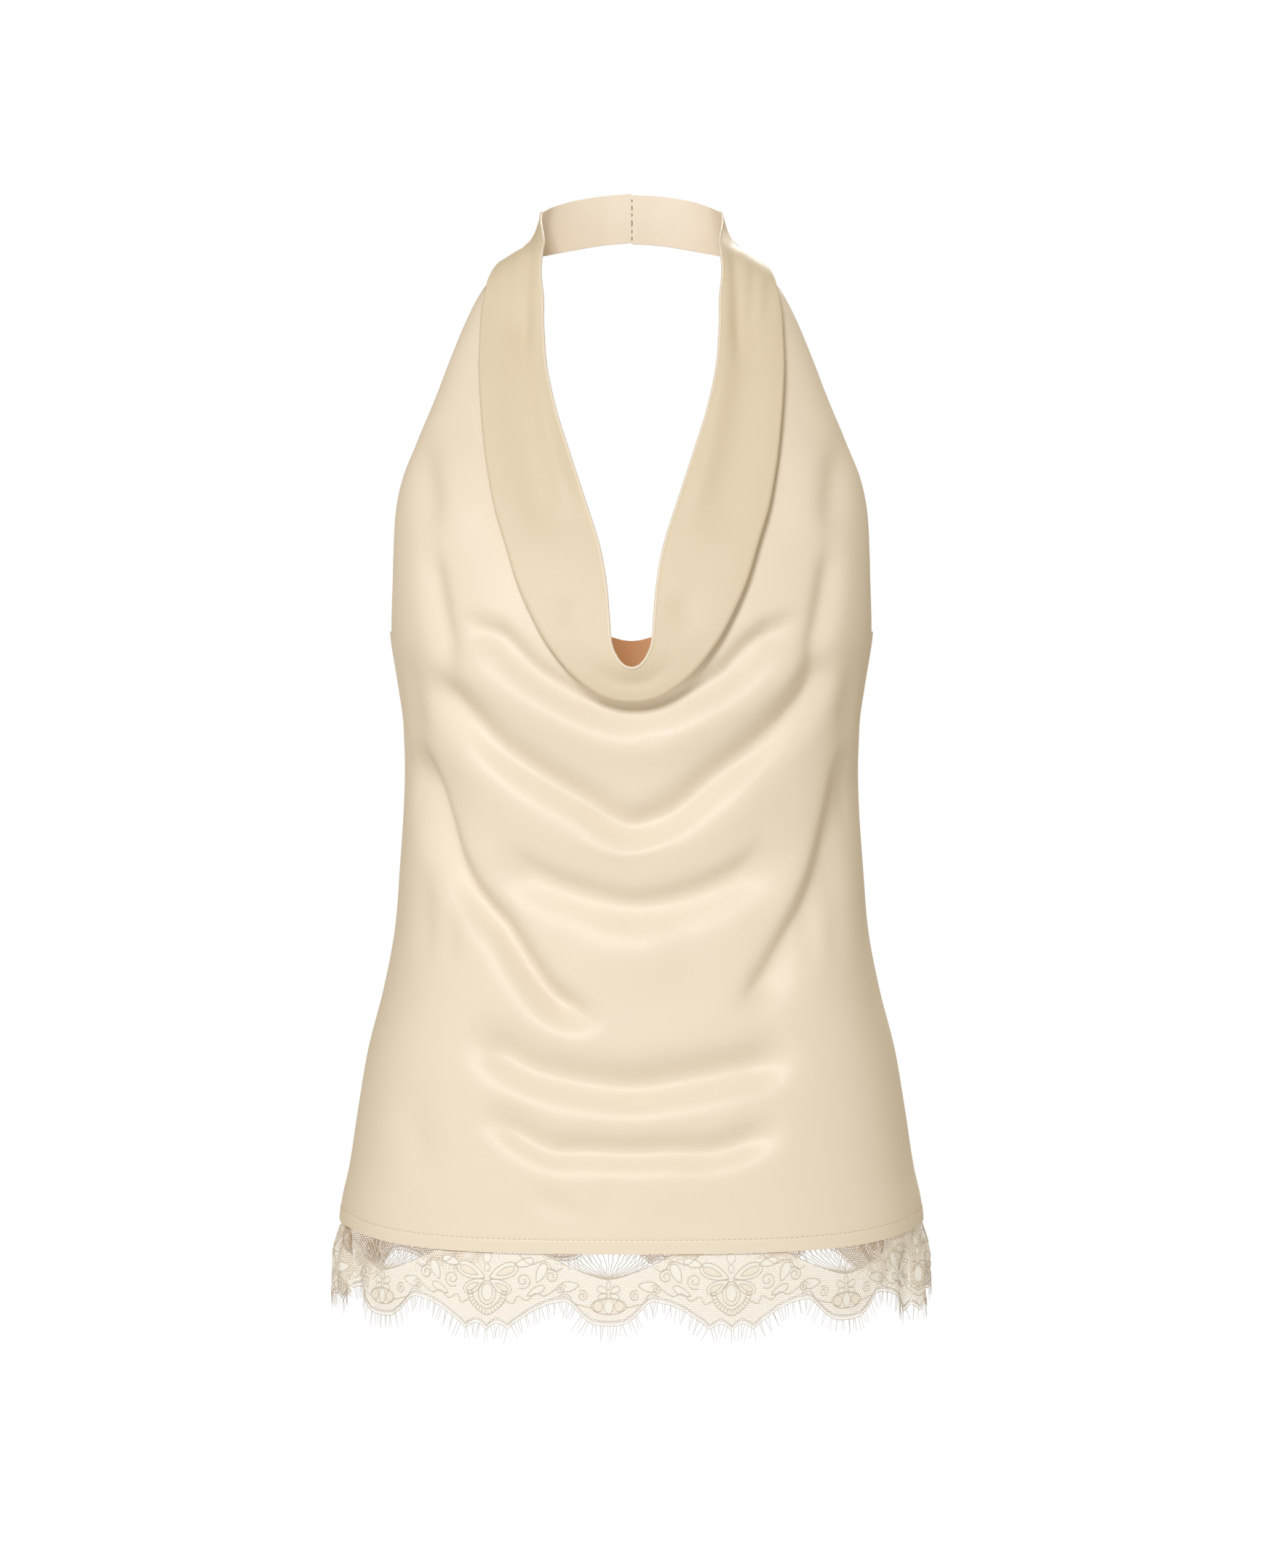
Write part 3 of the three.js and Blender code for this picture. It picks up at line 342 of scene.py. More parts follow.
def spline_path(points, spacing):
    """Evenly spaced places on a smooth path through a few points."""
    points = np.asarray(points, float)
    run = np.concatenate([[0], np.cumsum(np.linalg.norm(np.diff(points, axis=0), axis=1))])
    count = max(6, int(math.ceil(run[-1] / spacing)))
    at = np.linspace(0, run[-1], count + 1)
    return np.stack([smooth_line(run, points[:, k], at) for k in range(points.shape[1])], -1)


def crease_height(creases, x, z):
    """How far the cloth stands in or out at a place seen from in front."""
    height = np.zeros(np.shape(x))
    for path, rise, width, lean, mirrored in creases:
        line = spline_path(np.array(path) / 1000, CREASE_STEP)
        width, rise = width / 1000, rise / 1000
        place = np.stack([np.abs(x) if mirrored else x, z], -1)
        nearest = np.full(np.shape(x), np.inf)
        along = np.zeros(np.shape(x))
        sided = np.zeros(np.shape(x))
        run = 0
        for a, b in zip(line[:-1], line[1:]):
            step = b - a
            length = np.linalg.norm(step)
            off = place - a
            t = np.clip(off @ step / length ** 2, 0, 1)
            gap = np.linalg.norm(off - t[..., None] * step, axis=-1)
            closer = gap < nearest
            nearest = np.where(closer, gap, nearest)
            along = np.where(closer, run + t * length, along)
            turned = (step[0] * off[..., 1] - step[1] * off[..., 0]) / length
            sided = np.where(closer, turned, sided)
            run += length
        end = min(CREASE_END, CREASE_END_SHARE * run)
        ease = smoothstep(along, -0.001, end) * smoothstep(run - along, -0.001, end)
        wide = width * (1 + lean * np.tanh(2 * sided / width))
        height += rise * np.exp(-(nearest / wide) ** 2) * ease
    return height


def satin_point(angle, z):
    point = form_point(angle, z)
    calm = smoothstep(z - SIDE_HEM_Z, *HEM_CALM)
    ahead = np.cos(angle)
    front_height = crease_height(CREASES, point[..., 0], point[..., 2])
    back_height = crease_height(BACK_CREASES, point[..., 0], point[..., 2])
    front_share, back_share = np.clip(CREASE_FADE * ahead, 0, 1), np.clip(-CREASE_FADE * ahead, 0, 1)
    height = (front_height * front_share + back_height * back_share) * calm
    return point + form_normal(angle, z) * height[..., None]


def hem_relief(above_hem):
    """The turned hem is a little fuller than the cloth, and its stitches pull a groove."""
    swell = HEM_SWELL * (1 - smoothstep(above_hem, HEM_STITCH_UP - HEM_EDGE, HEM_STITCH_UP + HEM_EDGE))
    groove = STITCH_GROOVE * np.exp(-((above_hem - HEM_STITCH_UP) / STITCH_GROOVE_WIDE) ** 2)
    return swell - groove


def edge_spots(table, crowding):
    """Places of the front's columns on an edge, as angle, height and lift."""
    x, z, lift = (table[:, k].copy() for k in range(3))
    found_x, found_z = x.copy(), z.copy()
    for turn in range(40):
        half = smooth_line(LEVELS[:, 0], LEVELS[:, 1], found_z)
        angle = np.arcsin(np.clip(found_x / half, -WIDEST_SHARE, WIDEST_SHARE))
        point = lifted(angle, found_z, lift)
        found_x += 0.5 * (x - point[:, 0])
        found_z += 0.5 * (z - point[:, 2])
    half_edge = np.stack([angle, found_z, lift], -1)
    whole = np.concatenate([half_edge[:0:-1] * (-1, 1, 1), half_edge])
    places = lifted(*whole.T)
    run = np.concatenate([[0], np.cumsum(np.linalg.norm(np.diff(places, axis=0), axis=1))])
    wanted = run[-1] * (1 + column_places(crowding)) / 2
    return np.stack([smooth_line(run, whole[:, k], wanted) for k in range(3)], -1)


def column_places(crowding):
    even = np.linspace(-1, 1, FRONT_COLUMNS + 1)
    return np.sign(even) * np.abs(even) ** crowding


def front_rows():
    neck = edge_spots(NECK_EDGE, NECK_CROWDING)
    lip = edge_spots(LIP, LIP_CROWDING)
    s = column_places(LIP_CROWDING)
    rows = []
    for share in np.linspace(0, 1, BAND_ROWS + 1):
        spot = mix(neck, lip, share)
        seen = lifted(*spot.T)
        crease = crease_height(BAND_CREASES, seen[:, 0], seen[:, 2])
        rows.append(seen + form_normal(spot[:, 0], spot[:, 1]) * crease[:, None])
    normal = form_normal(lip[:, 0], lip[:, 1])
    foot = form_point(lip[:, 0], lip[:, 1])
    ahead = np.roll(foot, -1, axis=0)
    behind = np.roll(foot, 1, axis=0)
    ahead[-1], behind[0] = foot[-1], foot[0]
    taper = smoothstep(np.abs(s), *FOLD_TAPER)[:, None]
    fall = unit(rows[-1] - rows[-2])
    down = unit(mix(unit(np.cross(unit(ahead - behind), normal)), fall, FOLD_SHOULDER * taper))
    steps = []
    half_high = (0.5 - FOLD_SLOPE) / 2
    for bend in np.radians(np.arange(FOLD_STEP, 181, FOLD_STEP)):
        steps.append((FOLD_RADIUS * math.sin(bend), 1 - half_high * (1 - math.cos(bend))))
    for bend in np.radians(np.arange(0, 181, FOLD_STEP)):
        steps.append((-FOLD_RETURN - FOLD_RADIUS * math.sin(bend), half_high * (1 + math.cos(bend))))
    for d, h in steps:
        off = mix(d, FOLD_OPEN * (1 - h), taper)
        rows.append(foot + down * off + normal * (h * lip[:, 2:3]))
    root = rows[-1]
    half = smooth_line(LEVELS[:, 0], LEVELS[:, 1], root[:, 2])
    root_angle = np.arcsin(np.clip(root[:, 0] / half, -WIDEST_SHARE, WIDEST_SHARE))
    root_share = root_angle / abs(root_angle[0])
    hem = hem_z(s * HEM_SEAM_ANGLE)
    top_z = root[0, 2]
    hem_from = 1 - HEM_ROWS_HIGH / abs(FRONT_HEM_Z - root[FRONT_COLUMNS // 2, 2])
    body_shares = np.linspace(0, hem_from, BODY_ROWS + 1)[1:]
    shares = np.concatenate([body_shares, np.linspace(hem_from, 1, HEM_ROWS + 1)[1:]])
    for t in shares:
        upper = mix(top_z, UNDERARM_Z, t / ARMHOLE_SHARE)
        lower = mix(UNDERARM_Z, SIDE_HEM_Z, (t - ARMHOLE_SHARE) / (1 - ARMHOLE_SHARE))
        edge_z = np.array(upper if t < ARMHOLE_SHARE else lower)
        edge = armhole_angle(edge_z) if t < ARMHOLE_SHARE else seam_angle(edge_z)
        z = mix(root[:, 2], hem, t) + s * s * (edge_z - mix(top_z, SIDE_HEM_Z, t))
        angle = mix(root_share, s, smoothstep(t, 0, 0.5)) * edge
        row = satin_point(angle, z)
        relief = hem_relief(z - hem)
        rows.append(row + form_normal(angle, z) * relief[:, None])
    return np.array(rows)


def lay_cloth(name, rows):
    """A flat grid of cloth, its points moved to their worn places. The map keeps real lengths."""
    high, wide = rows.shape[:2]
    bpy.ops.object.select_all(action="DESELECT")
    bpy.ops.mesh.primitive_grid_add(x_subdivisions=wide - 1, y_subdivisions=high - 1, size=1)
    cloth = bpy.context.object
    cloth.name = name
    cloth.data.name = name
    places = rows[::-1]
    cloth.data.vertices.foreach_set("co", places.reshape(-1).astype(np.float32))
    across = np.linalg.norm(np.diff(places, axis=1), axis=2)
    along = np.linalg.norm(np.diff(places, axis=0), axis=2)
    u = np.concatenate([[0], np.cumsum(across.mean(0))])
    v = np.concatenate([[0], np.cumsum(along.mean(1))])
    corners = np.zeros(len(cloth.data.loops), np.int32)
    cloth.data.loops.foreach_get("vertex_index", corners)
    spread = np.stack([u[corners % wide], v[corners // wide]], -1)
    cloth.data.uv_layers[0].data.foreach_set("uv", spread.reshape(-1).astype(np.float32))
    cloth.data.update()
    return cloth


def thicken(cloth, thickness, inner_material=0):
    bpy.ops.object.select_all(action="DESELECT")
    cloth.select_set(True)
    bpy.context.view_layer.objects.active = cloth
    wall = cloth.modifiers.new("wall", "SOLIDIFY")
    wall.thickness = thickness
    wall.offset = 0
    wall.material_offset = inner_material
    bpy.ops.object.modifier_apply(modifier=wall.name)
    bpy.ops.object.shade_smooth_by_angle(angle=math.radians(55))


# Satin: warp floats catch the light along the cloth, slubs and soft handling marks break it up.
SATIN_COLOUR = (0.87, 0.785, 0.675, 1)
SATIN_SHADE = (0.845, 0.75, 0.615, 1)
# The cowl's band is coloured darker and yellower than the body: painted shade for the band's duller sheen and for
# the shadow under the lip.
PAINTED_BAND_SHADE = (0.765, 0.665, 0.525, 1)
PAINTED_BAND_SHADE_DARK = (0.74, 0.63, 0.47, 1)
# The inside of the satin is dull like a real reverse side, but its brown colour is painted shade for the shadowed
# inside seen through the neckline.
PAINTED_INSIDE_SHADE = (0.80, 0.50, 0.285, 1)
PAINTED_INSIDE_SHADE_DARK = (0.74, 0.44, 0.24, 1)
THREADS_IN_METRE = 3200
SURFACE_VALUES = (("Color", "NodeSocketColor"), ("Roughness", "NodeSocketFloat"), ("Height", "NodeSocketFloat"))


def group_socket(group, name, way, kind, value=None):
    socket = group.interface.new_socket(name=name, in_out=way, socket_type=kind)
    if value is not None:
        socket.default_value = value


def add_node(tree, kind, settings=(), values=()):
    made = tree.nodes.new(kind)
    for key, value in dict(settings).items():
        setattr(made, key, value)
    for key, value in dict(values).items():
        made.inputs[key].default_value = value
    return made


satin_weave = bpy.data.node_groups.new("satin_weave", "ShaderNodeTree")
group_socket(satin_weave, "Thread colour", "INPUT", "NodeSocketColor", SATIN_COLOUR)
group_socket(satin_weave, "Shade colour", "INPUT", "NodeSocketColor", SATIN_SHADE)
group_socket(satin_weave, "Threads", "INPUT", "NodeSocketFloat", THREADS_IN_METRE)
group_socket(satin_weave, "Gloss", "INPUT", "NodeSocketFloat", 0.4)
for out_name, out_kind in SURFACE_VALUES:
    group_socket(satin_weave, out_name, "OUTPUT", out_kind)
tree = satin_weave
link = tree.links.new
given = add_node(tree, "NodeGroupInput")
out = add_node(tree, "NodeGroupOutput")
spot = add_node(tree, "ShaderNodeTexCoord")
floats = add_node(tree, "ShaderNodeVectorMath", {"operation": "SCALE"})
link(spot.outputs["UV"], floats.inputs[0])
link(given.outputs["Threads"], floats.inputs["Scale"])
warp = add_node(tree, "ShaderNodeTexWave", {"bands_direction": "X"},
                {"Scale": 0.32, "Distortion": 0.8, "Detail": 1})
weft = add_node(tree, "ShaderNodeTexWave", {"bands_direction": "DIAGONAL"},
                {"Scale": 0.09, "Distortion": 0.5, "Detail": 1})
slub = add_node(tree, "ShaderNodeTexNoise", {}, {"Scale": 90, "Detail": 3})
mark = add_node(tree, "ShaderNodeTexNoise", {}, {"Scale": 14, "Detail": 2, "Roughness": 0.4})
stretch = add_node(tree, "ShaderNodeMapping", {}, {"Scale": (6, 0.7, 1)})
link(floats.outputs[0], warp.inputs["Vector"])
link(floats.outputs[0], weft.inputs["Vector"])
link(spot.outputs["UV"], stretch.inputs["Vector"])
link(stretch.outputs[0], slub.inputs["Vector"])
link(spot.outputs["Object"], mark.inputs["Vector"])
tone = add_node(tree, "ShaderNodeMath", {"operation": "MULTIPLY_ADD"}, {1: 0.5, 2: 0.0})
link(slub.outputs["Fac"], tone.inputs[0])
tone_all = add_node(tree, "ShaderNodeMath", {"operation": "MULTIPLY_ADD"}, {1: 0.35})
link(mark.outputs["Fac"], tone_all.inputs[0])
link(tone.outputs[0], tone_all.inputs[2])
dye = add_node(tree, "ShaderNodeMix", {"data_type": "RGBA"})
link(tone_all.outputs[0], dye.inputs["Factor"])
link(given.outputs["Thread colour"], dye.inputs["A"])
link(given.outputs["Shade colour"], dye.inputs["B"])
link(dye.outputs["Result"], out.inputs["Color"])
rough = add_node(tree, "ShaderNodeMath", {"operation": "MULTIPLY_ADD"}, {1: 0.12})
link(slub.outputs["Fac"], rough.inputs[0])
link(given.outputs["Gloss"], rough.inputs[2])
link(rough.outputs[0], out.inputs["Roughness"])
yarns = add_node(tree, "ShaderNodeMath", {"operation": "MULTIPLY_ADD"}, {1: 0.00002})
drift = add_node(tree, "ShaderNodeMath", {"operation": "MULTIPLY"}, {1: 0.0005})
yarns_too = add_node(tree, "ShaderNodeMath", {"operation": "MULTIPLY_ADD"}, {1: 0.00002})
link(mark.outputs["Fac"], drift.inputs[0])
link(warp.outputs["Fac"], yarns.inputs[0])
link(drift.outputs[0], yarns.inputs[2])
link(weft.outputs["Fac"], yarns_too.inputs[0])
link(yarns.outputs[0], yarns_too.inputs[2])
link(yarns_too.outputs[0], out.inputs["Height"])


def satin_material(name, colour, shade, gloss, sheen):
    """Satin from the shared weave, in the given colours; for the cowl's band and the inside these colours are
    painted shade.
    """
    cloth = bpy.data.materials.new(name)
    cloth.use_nodes = True
    tree = cloth.node_tree
    shader = tree.nodes["Principled BSDF"]
    weave = add_node(tree, "ShaderNodeGroup", {"node_tree": satin_weave})
    weave.inputs["Thread colour"].default_value = colour
    weave.inputs["Shade colour"].default_value = shade
    weave.inputs["Gloss"].default_value = gloss
    bump = add_node(tree, "ShaderNodeBump", {}, {"Strength": 0.6, "Distance": 1})
    tree.links.new(weave.outputs["Color"], shader.inputs["Base Color"])
    tree.links.new(weave.outputs["Roughness"], shader.inputs["Roughness"])
    tree.links.new(weave.outputs["Height"], bump.inputs["Height"])
    tree.links.new(bump.outputs["Normal"], shader.inputs["Normal"])
    shader.inputs["Specular IOR Level"].default_value = 0.5
    shader.inputs["Sheen Weight"].default_value = sheen
    shader.inputs["Sheen Roughness"].default_value = 0.35
    shader.inputs["Sheen Tint"].default_value = (1, 0.94, 0.84, 1)
    return cloth


front_satin = satin_material("front_satin", SATIN_COLOUR, SATIN_SHADE, 0.36, 0.15)
cowl_painted_shade = satin_material("cowl_painted_shade", PAINTED_BAND_SHADE, PAINTED_BAND_SHADE_DARK, 0.46, 0.1)
satin_reverse_painted_shade = satin_material("satin_reverse_painted_shade", PAINTED_INSIDE_SHADE, PAINTED_INSIDE_SHADE_DARK, 0.7, 0.05)
front_places = front_rows()
front = lay_cloth("satin_front", front_places)
for finish in (front_satin, cowl_painted_shade, satin_reverse_painted_shade):
    front.data.materials.append(finish)
# The band and the first rows of the lip's roll get the darker painted shade colour.
painted_shade_from = (len(front_places) - 1 - BAND_ROWS - PAINTED_SHADE_ROWS_BELOW_LIP) * FRONT_COLUMNS
for face in front.data.polygons[painted_shade_from:]:
    face.material_index = 1
# The front's inside wall takes the brown painted shade.
thicken(front, SATIN_THICK, inner_material=2)
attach(front, "root")
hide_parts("front")

# Back: a plain piece of the same satin, from its low top edge to the hem.
BACK_TOP = np.array((
    # x, height of the top edge
    (0, -0.2842), (0.006, -0.2836), (0.017, -0.2810), (0.060, -0.2815), (0.110, -0.2835), (0.158, -0.284),
))
BACK_COLUMNS = 180
BACK_ROWS = 90


def back_rows():
    hem_from = 1 - HEM_ROWS_HIGH / (UNDERARM_Z - SIDE_HEM_Z)
    upper_shares = np.linspace(0, hem_from, BACK_ROWS + 1)
    shares = np.concatenate([upper_shares, np.linspace(hem_from, 1, HEM_ROWS + 1)[1:]])
    rows = []
    for share in shares:
        edge_z = np.array(mix(UNDERARM_Z, SIDE_HEM_Z, share))
        start = float(seam_angle(edge_z))
        angle = np.linspace(start, 2 * math.pi - start, BACK_COLUMNS + 1)
        from_centre = np.abs(form_point(angle, UNDERARM_Z)[:, 0])
        corner = smoothstep(np.abs(np.linspace(-1, 1, BACK_COLUMNS + 1)), 0.8, 1)
        dip = (smooth_line(BACK_TOP[:, 0], BACK_TOP[:, 1], from_centre) - UNDERARM_Z) * (1 - corner)
        z = edge_z + dip * (1 - share)
        row = satin_point(angle, z)
        relief = hem_relief(z - SIDE_HEM_Z)
        rows.append(row + form_normal(angle, z) * relief[:, None])
    return np.array(rows)


back_satin = satin_material("back_satin", SATIN_COLOUR, SATIN_SHADE, 0.4, 0.15)
back_places = back_rows()
back = lay_cloth("satin_back", back_places)
back.data.materials.append(back_satin)
back.data.materials.append(satin_reverse_painted_shade)
# The back's inside wall takes the brown painted shade.
thicken(back, SATIN_THICK, inner_material=1)
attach(back, "root")
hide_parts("back")

# Neck strap: two halves of doubled satin, seamed at the centre back, whose other ends hold the
# gathers of the front.
STRAP = np.array((
    # upper edge x, y, z, then lower edge x, y, z
    (0.0195, 0.0006, 0.0154, 0.020, 0.0004, -0.018),
    (0.040, -0.003, 0.0115, 0.0405, -0.0035, -0.022),
    (0.0525, -0.010, 0.0065, 0.054, -0.0085, -0.0255),
    (0.0578, -0.0205, 0.002, 0.062, -0.0145, -0.0278),
))
STRAP_WIDTH = 0.033
STRAP_WALL = 0.0018
STRAP_THICK = 0.0012
CENTRE_BACK_STEP = 0.0008
CENTRE_BACK_GAP = 0.00001
STRAP_COLUMNS = 60
STRAP_ROWS = 24
SHOULDER_ROWS = BAND_ROWS + 1 + 12 + 13


def strap_rows(side, shoulder):
    run = np.concatenate([[0], np.cumsum(np.linalg.norm(np.diff(shoulder, axis=0), axis=1))])
    rows = []
    for share in np.linspace(0, 1, STRAP_ROWS + 1):
        end = np.array([np.interp(share * run[-1], run, shoulder[:, k]) for k in range(3)])
        points = mix(STRAP[:, :3], STRAP[:, 3:], share) * (side, 1, 1)
        centre = (side * CENTRE_BACK_GAP, STRAP_WALL / 2, STRAP_WIDTH * (0.5 - share))
        line = spline_path(np.vstack([centre, points, end]), 0.0001)
        at = np.linspace(0, len(line) - 1, STRAP_COLUMNS + 1)
        row = np.stack([np.interp(at, np.arange(len(line)), line[:, k]) for k in range(3)], -1)
        if side < 0:
            row[:, 2] += CENTRE_BACK_STEP * (1 - np.linspace(0, 1, STRAP_COLUMNS + 1)) ** 4
        rows.append(row[::-1] if side > 0 else row)
    return np.array(rows)


strap_satin = satin_material("strap_satin", SATIN_COLOUR, SATIN_SHADE, 0.42, 0.12)
for side, side_name in ((1, "left"), (-1, "right")):
    shoulder = front_places[:SHOULDER_ROWS, -1 if side > 0 else 0]
    strap = lay_cloth("satin_strap_" + side_name, strap_rows(side, shoulder))
    thicken(strap, STRAP_THICK)
    strap.data.materials.append(strap_satin)
    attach(strap, "root")
    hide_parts("strap_" + side_name)

# Neck edge and stitching: the cut edge of the cowl is rolled into a narrow bead, and the hem and
# the strap's centre seam are sewn with a matching thread.
BEAD_RADIUS = 0.0010
THREAD_RADIUS = 0.00017
SEAM_THREAD_RADIUS = 0.00032
STITCH_LONG = 0.0019
STITCH_STEP = 0.0033
THREAD_COLOUR = (0.68, 0.55, 0.39, 1)
SEAM_THREAD_COLOUR = (0.30, 0.20, 0.12, 1)


def sew(name, routes, radius, roundness=0, tip=1.0):
    """One mesh of thin round threads, each along its own route. A tip under 1 makes them taper."""
    line = bpy.data.curves.new(name, "CURVE")
    line.dimensions = "3D"
    line.bevel_depth = radius
    line.bevel_resolution = roundness
    line.use_fill_caps = True
    for route in routes:
        thread = line.splines.new("POLY")
        thread.points.add(len(route) - 1)
        thread.points.foreach_set("co", np.concatenate([route, np.ones((len(route), 1))], 1).reshape(-1))
        thread.points.foreach_set("radius", np.linspace(1, tip, len(route)))
    bpy.ops.object.select_all(action="DESELECT")
    threads = bpy.data.objects.new(name, line)
    bpy.context.collection.objects.link(threads)
    threads.select_set(True)
    bpy.context.view_layer.objects.active = threads
    bpy.ops.object.convert(target="MESH")
    bpy.ops.object.shade_smooth_by_angle(angle=math.radians(70))
    return bpy.context.object


thread_twist = bpy.data.node_groups.new("thread_twist", "ShaderNodeTree")
group_socket(thread_twist, "Yarn colour", "INPUT", "NodeSocketColor", THREAD_COLOUR)
group_socket(thread_twist, "Shade colour", "INPUT", "NodeSocketColor", THREAD_COLOUR)
for out_name, out_kind in SURFACE_VALUES:
    group_socket(thread_twist, out_name, "OUTPUT", out_kind)
tree = thread_twist
link = tree.links.new
given = add_node(tree, "NodeGroupInput")
out = add_node(tree, "NodeGroupOutput")
spot = add_node(tree, "ShaderNodeTexCoord")
ply = add_node(tree, "ShaderNodeTexWave", {"bands_direction": "DIAGONAL"},
               {"Scale": 900, "Distortion": 1.5, "Detail": 1})
fuzz = add_node(tree, "ShaderNodeTexNoise", {}, {"Scale": 260, "Detail": 3})
link(spot.outputs["Object"], ply.inputs["Vector"])
link(spot.outputs["Object"], fuzz.inputs["Vector"])
dye = add_node(tree, "ShaderNodeMix", {"data_type": "RGBA"})
link(fuzz.outputs["Fac"], dye.inputs["Factor"])
link(given.outputs["Yarn colour"], dye.inputs["A"])
link(given.outputs["Shade colour"], dye.inputs["B"])
link(dye.outputs["Result"], out.inputs["Color"])
dull = add_node(tree, "ShaderNodeMath", {"operation": "MULTIPLY_ADD"}, {1: 0.25, 2: 0.55})
link(fuzz.outputs["Fac"], dull.inputs[0])
link(dull.outputs[0], out.inputs["Roughness"])
plies = add_node(tree, "ShaderNodeMath", {"operation": "MULTIPLY"}, {1: 0.00005})
link(ply.outputs["Fac"], plies.inputs[0])
link(plies.outputs[0], out.inputs["Height"])


def thread_material(name, colour, shade_share, sheen):
    """Twisted thread, from the shared twist."""
    yarn = bpy.data.materials.new(name)
    yarn.use_nodes = True
    tree = yarn.node_tree
    shader = tree.nodes["Principled BSDF"]
    twist = add_node(tree, "ShaderNodeGroup", {"node_tree": thread_twist})
    twist.inputs["Yarn colour"].default_value = colour
    twist.inputs["Shade colour"].default_value = [c * shade_share for c in colour[:3]] + [1]
    bump = add_node(tree, "ShaderNodeBump", {}, {"Strength": 0.5, "Distance": 1})
    tree.links.new(twist.outputs["Color"], shader.inputs["Base Color"])
    tree.links.new(twist.outputs["Roughness"], shader.inputs["Roughness"])
    tree.links.new(twist.outputs["Height"], bump.inputs["Height"])
    tree.links.new(bump.outputs["Normal"], shader.inputs["Normal"])
    shader.inputs["Sheen Weight"].default_value = sheen
    return yarn


hem_thread = thread_material("hem_thread", THREAD_COLOUR, 0.85, 0.1)
seam_thread = thread_material("seam_thread", SEAM_THREAD_COLOUR, 0.8, 0.05)

bead = sew("neck_bead", [front_places[0]], BEAD_RADIUS, roundness=2)
bead.data.materials.append(front_satin)
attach(bead, "root")
sewn_on = {"front": [bead], "back": []}


def hem_stitches(start, end):
    """Short threads lying along the hem's stitch line, between two angles."""
    angle = np.linspace(start, end, 1600)
    z = hem_z(angle) + HEM_STITCH_UP
    stand = SATIN_THICK / 2 - STITCH_GROOVE / 2 + THREAD_RADIUS
    line = satin_point(angle, z) + form_normal(angle, z) * stand
    run = np.concatenate([[0], np.cumsum(np.linalg.norm(np.diff(line, axis=0), axis=1))])
    routes = []
    for first in np.arange(STITCH_STEP, run[-1] - STITCH_STEP, STITCH_STEP):
        at = np.linspace(first, first + STITCH_LONG, 3)
        routes.append(np.stack([np.interp(at, run, line[:, k]) for k in range(3)], -1))
    return routes


for place, start, end in (
    ("front", -HEM_SEAM_ANGLE, HEM_SEAM_ANGLE),
    ("back", HEM_SEAM_ANGLE, 2 * math.pi - HEM_SEAM_ANGLE),
):
    stitches = sew("hem_stitches_" + place, hem_stitches(start, end), THREAD_RADIUS)
    stitches.data.materials.append(hem_thread)
    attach(stitches, "root")
    sewn_on[place].append(stitches)

SEAM_STITCHES = (
    # top and foot of each stitch on the strap's centre seam
    (0.0135, 0.0118), (0.0095, 0.0062), (0.0042, 0.0020), (-0.0005, -0.0048), (-0.0072, -0.0093),
    (-0.0118, -0.0142),
)
SEAM_SIDE = 0.0002
seam_y = STRAP_WALL / 2 - STRAP_THICK / 2 - 0.0001
seam_routes = []
for top, low in SEAM_STITCHES:
    seam_routes.append(np.array((
        (SEAM_SIDE, seam_y, top), (2 * SEAM_SIDE, seam_y, (top + low) / 2), (SEAM_SIDE, seam_y, low),
    )))
seam = sew("strap_seam_thread", seam_routes, SEAM_THREAD_RADIUS)
seam.data.materials.append(seam_thread)
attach(seam, "root")

# Lace: a scalloped trim sewn behind the hem. A fine net carries flowers in close cloth work, every
# shape edged by a raised cord. It is a little longer than the hem and waves at both sides.
LACE_REPEAT = 0.150
LACE_SLACK = 0.017
VALLEY_Z = -0.6985
LARGE_FLOWER_RUN = -0.089
LACE_EDGE = np.array((
    # from the large flower's middle, depth below the valleys
    (0, 0.0185), (0.002, 0.0160), (0.005, 0.0142), (0.0075, 0.0140), (0.0105, 0.0152),
    (0.0135, 0.0175), (0.0165, 0.0142), (0.021, 0.0112), (0.029, 0.0058), (0.038, 0.0018),
    (0.048, 0), (0.0515, 0.0014), (0.055, 0.0050), (0.060, 0.0100), (0.065, 0.0136),
    (0.070, 0.0146), (0.075, 0.0148),
))
LACE_RING_Z = -0.690
LACE_WAVE = 0.044
WAVES_FROM = 0.172
WAVES_TO = 0.348
LACE_FREE = 0.024
LACE_TUCK = 0.0075
LACE_BEHIND = 0.0011
LACE_SEAM_GAP = 0.00003
NET_CELL = 0.0017
NET_OPEN = 0.5
BORDER_OPEN = 0.72
BORDER_HIGH = 0.0045
VEIN_STEP = 0.0008
LACE_HIGH = 0.065
CLIPPED_END = 0.0008
EDGE_CORDS_UP = (0.0003, 0.0024, 0.0034)
CORD_RADIUS = 0.00024
CORD_PROUD = 0.00028
CLOTH_WORK_PROUD = 0.00012
MIDDLE_PROUD = 0.0002
LACE_COLOUR = (0.97, 0.955, 0.93, 1)
NET_COLOUR = (0.94, 0.885, 0.80, 1)
CORD_COLOUR = (0.74, 0.68, 0.60, 1)

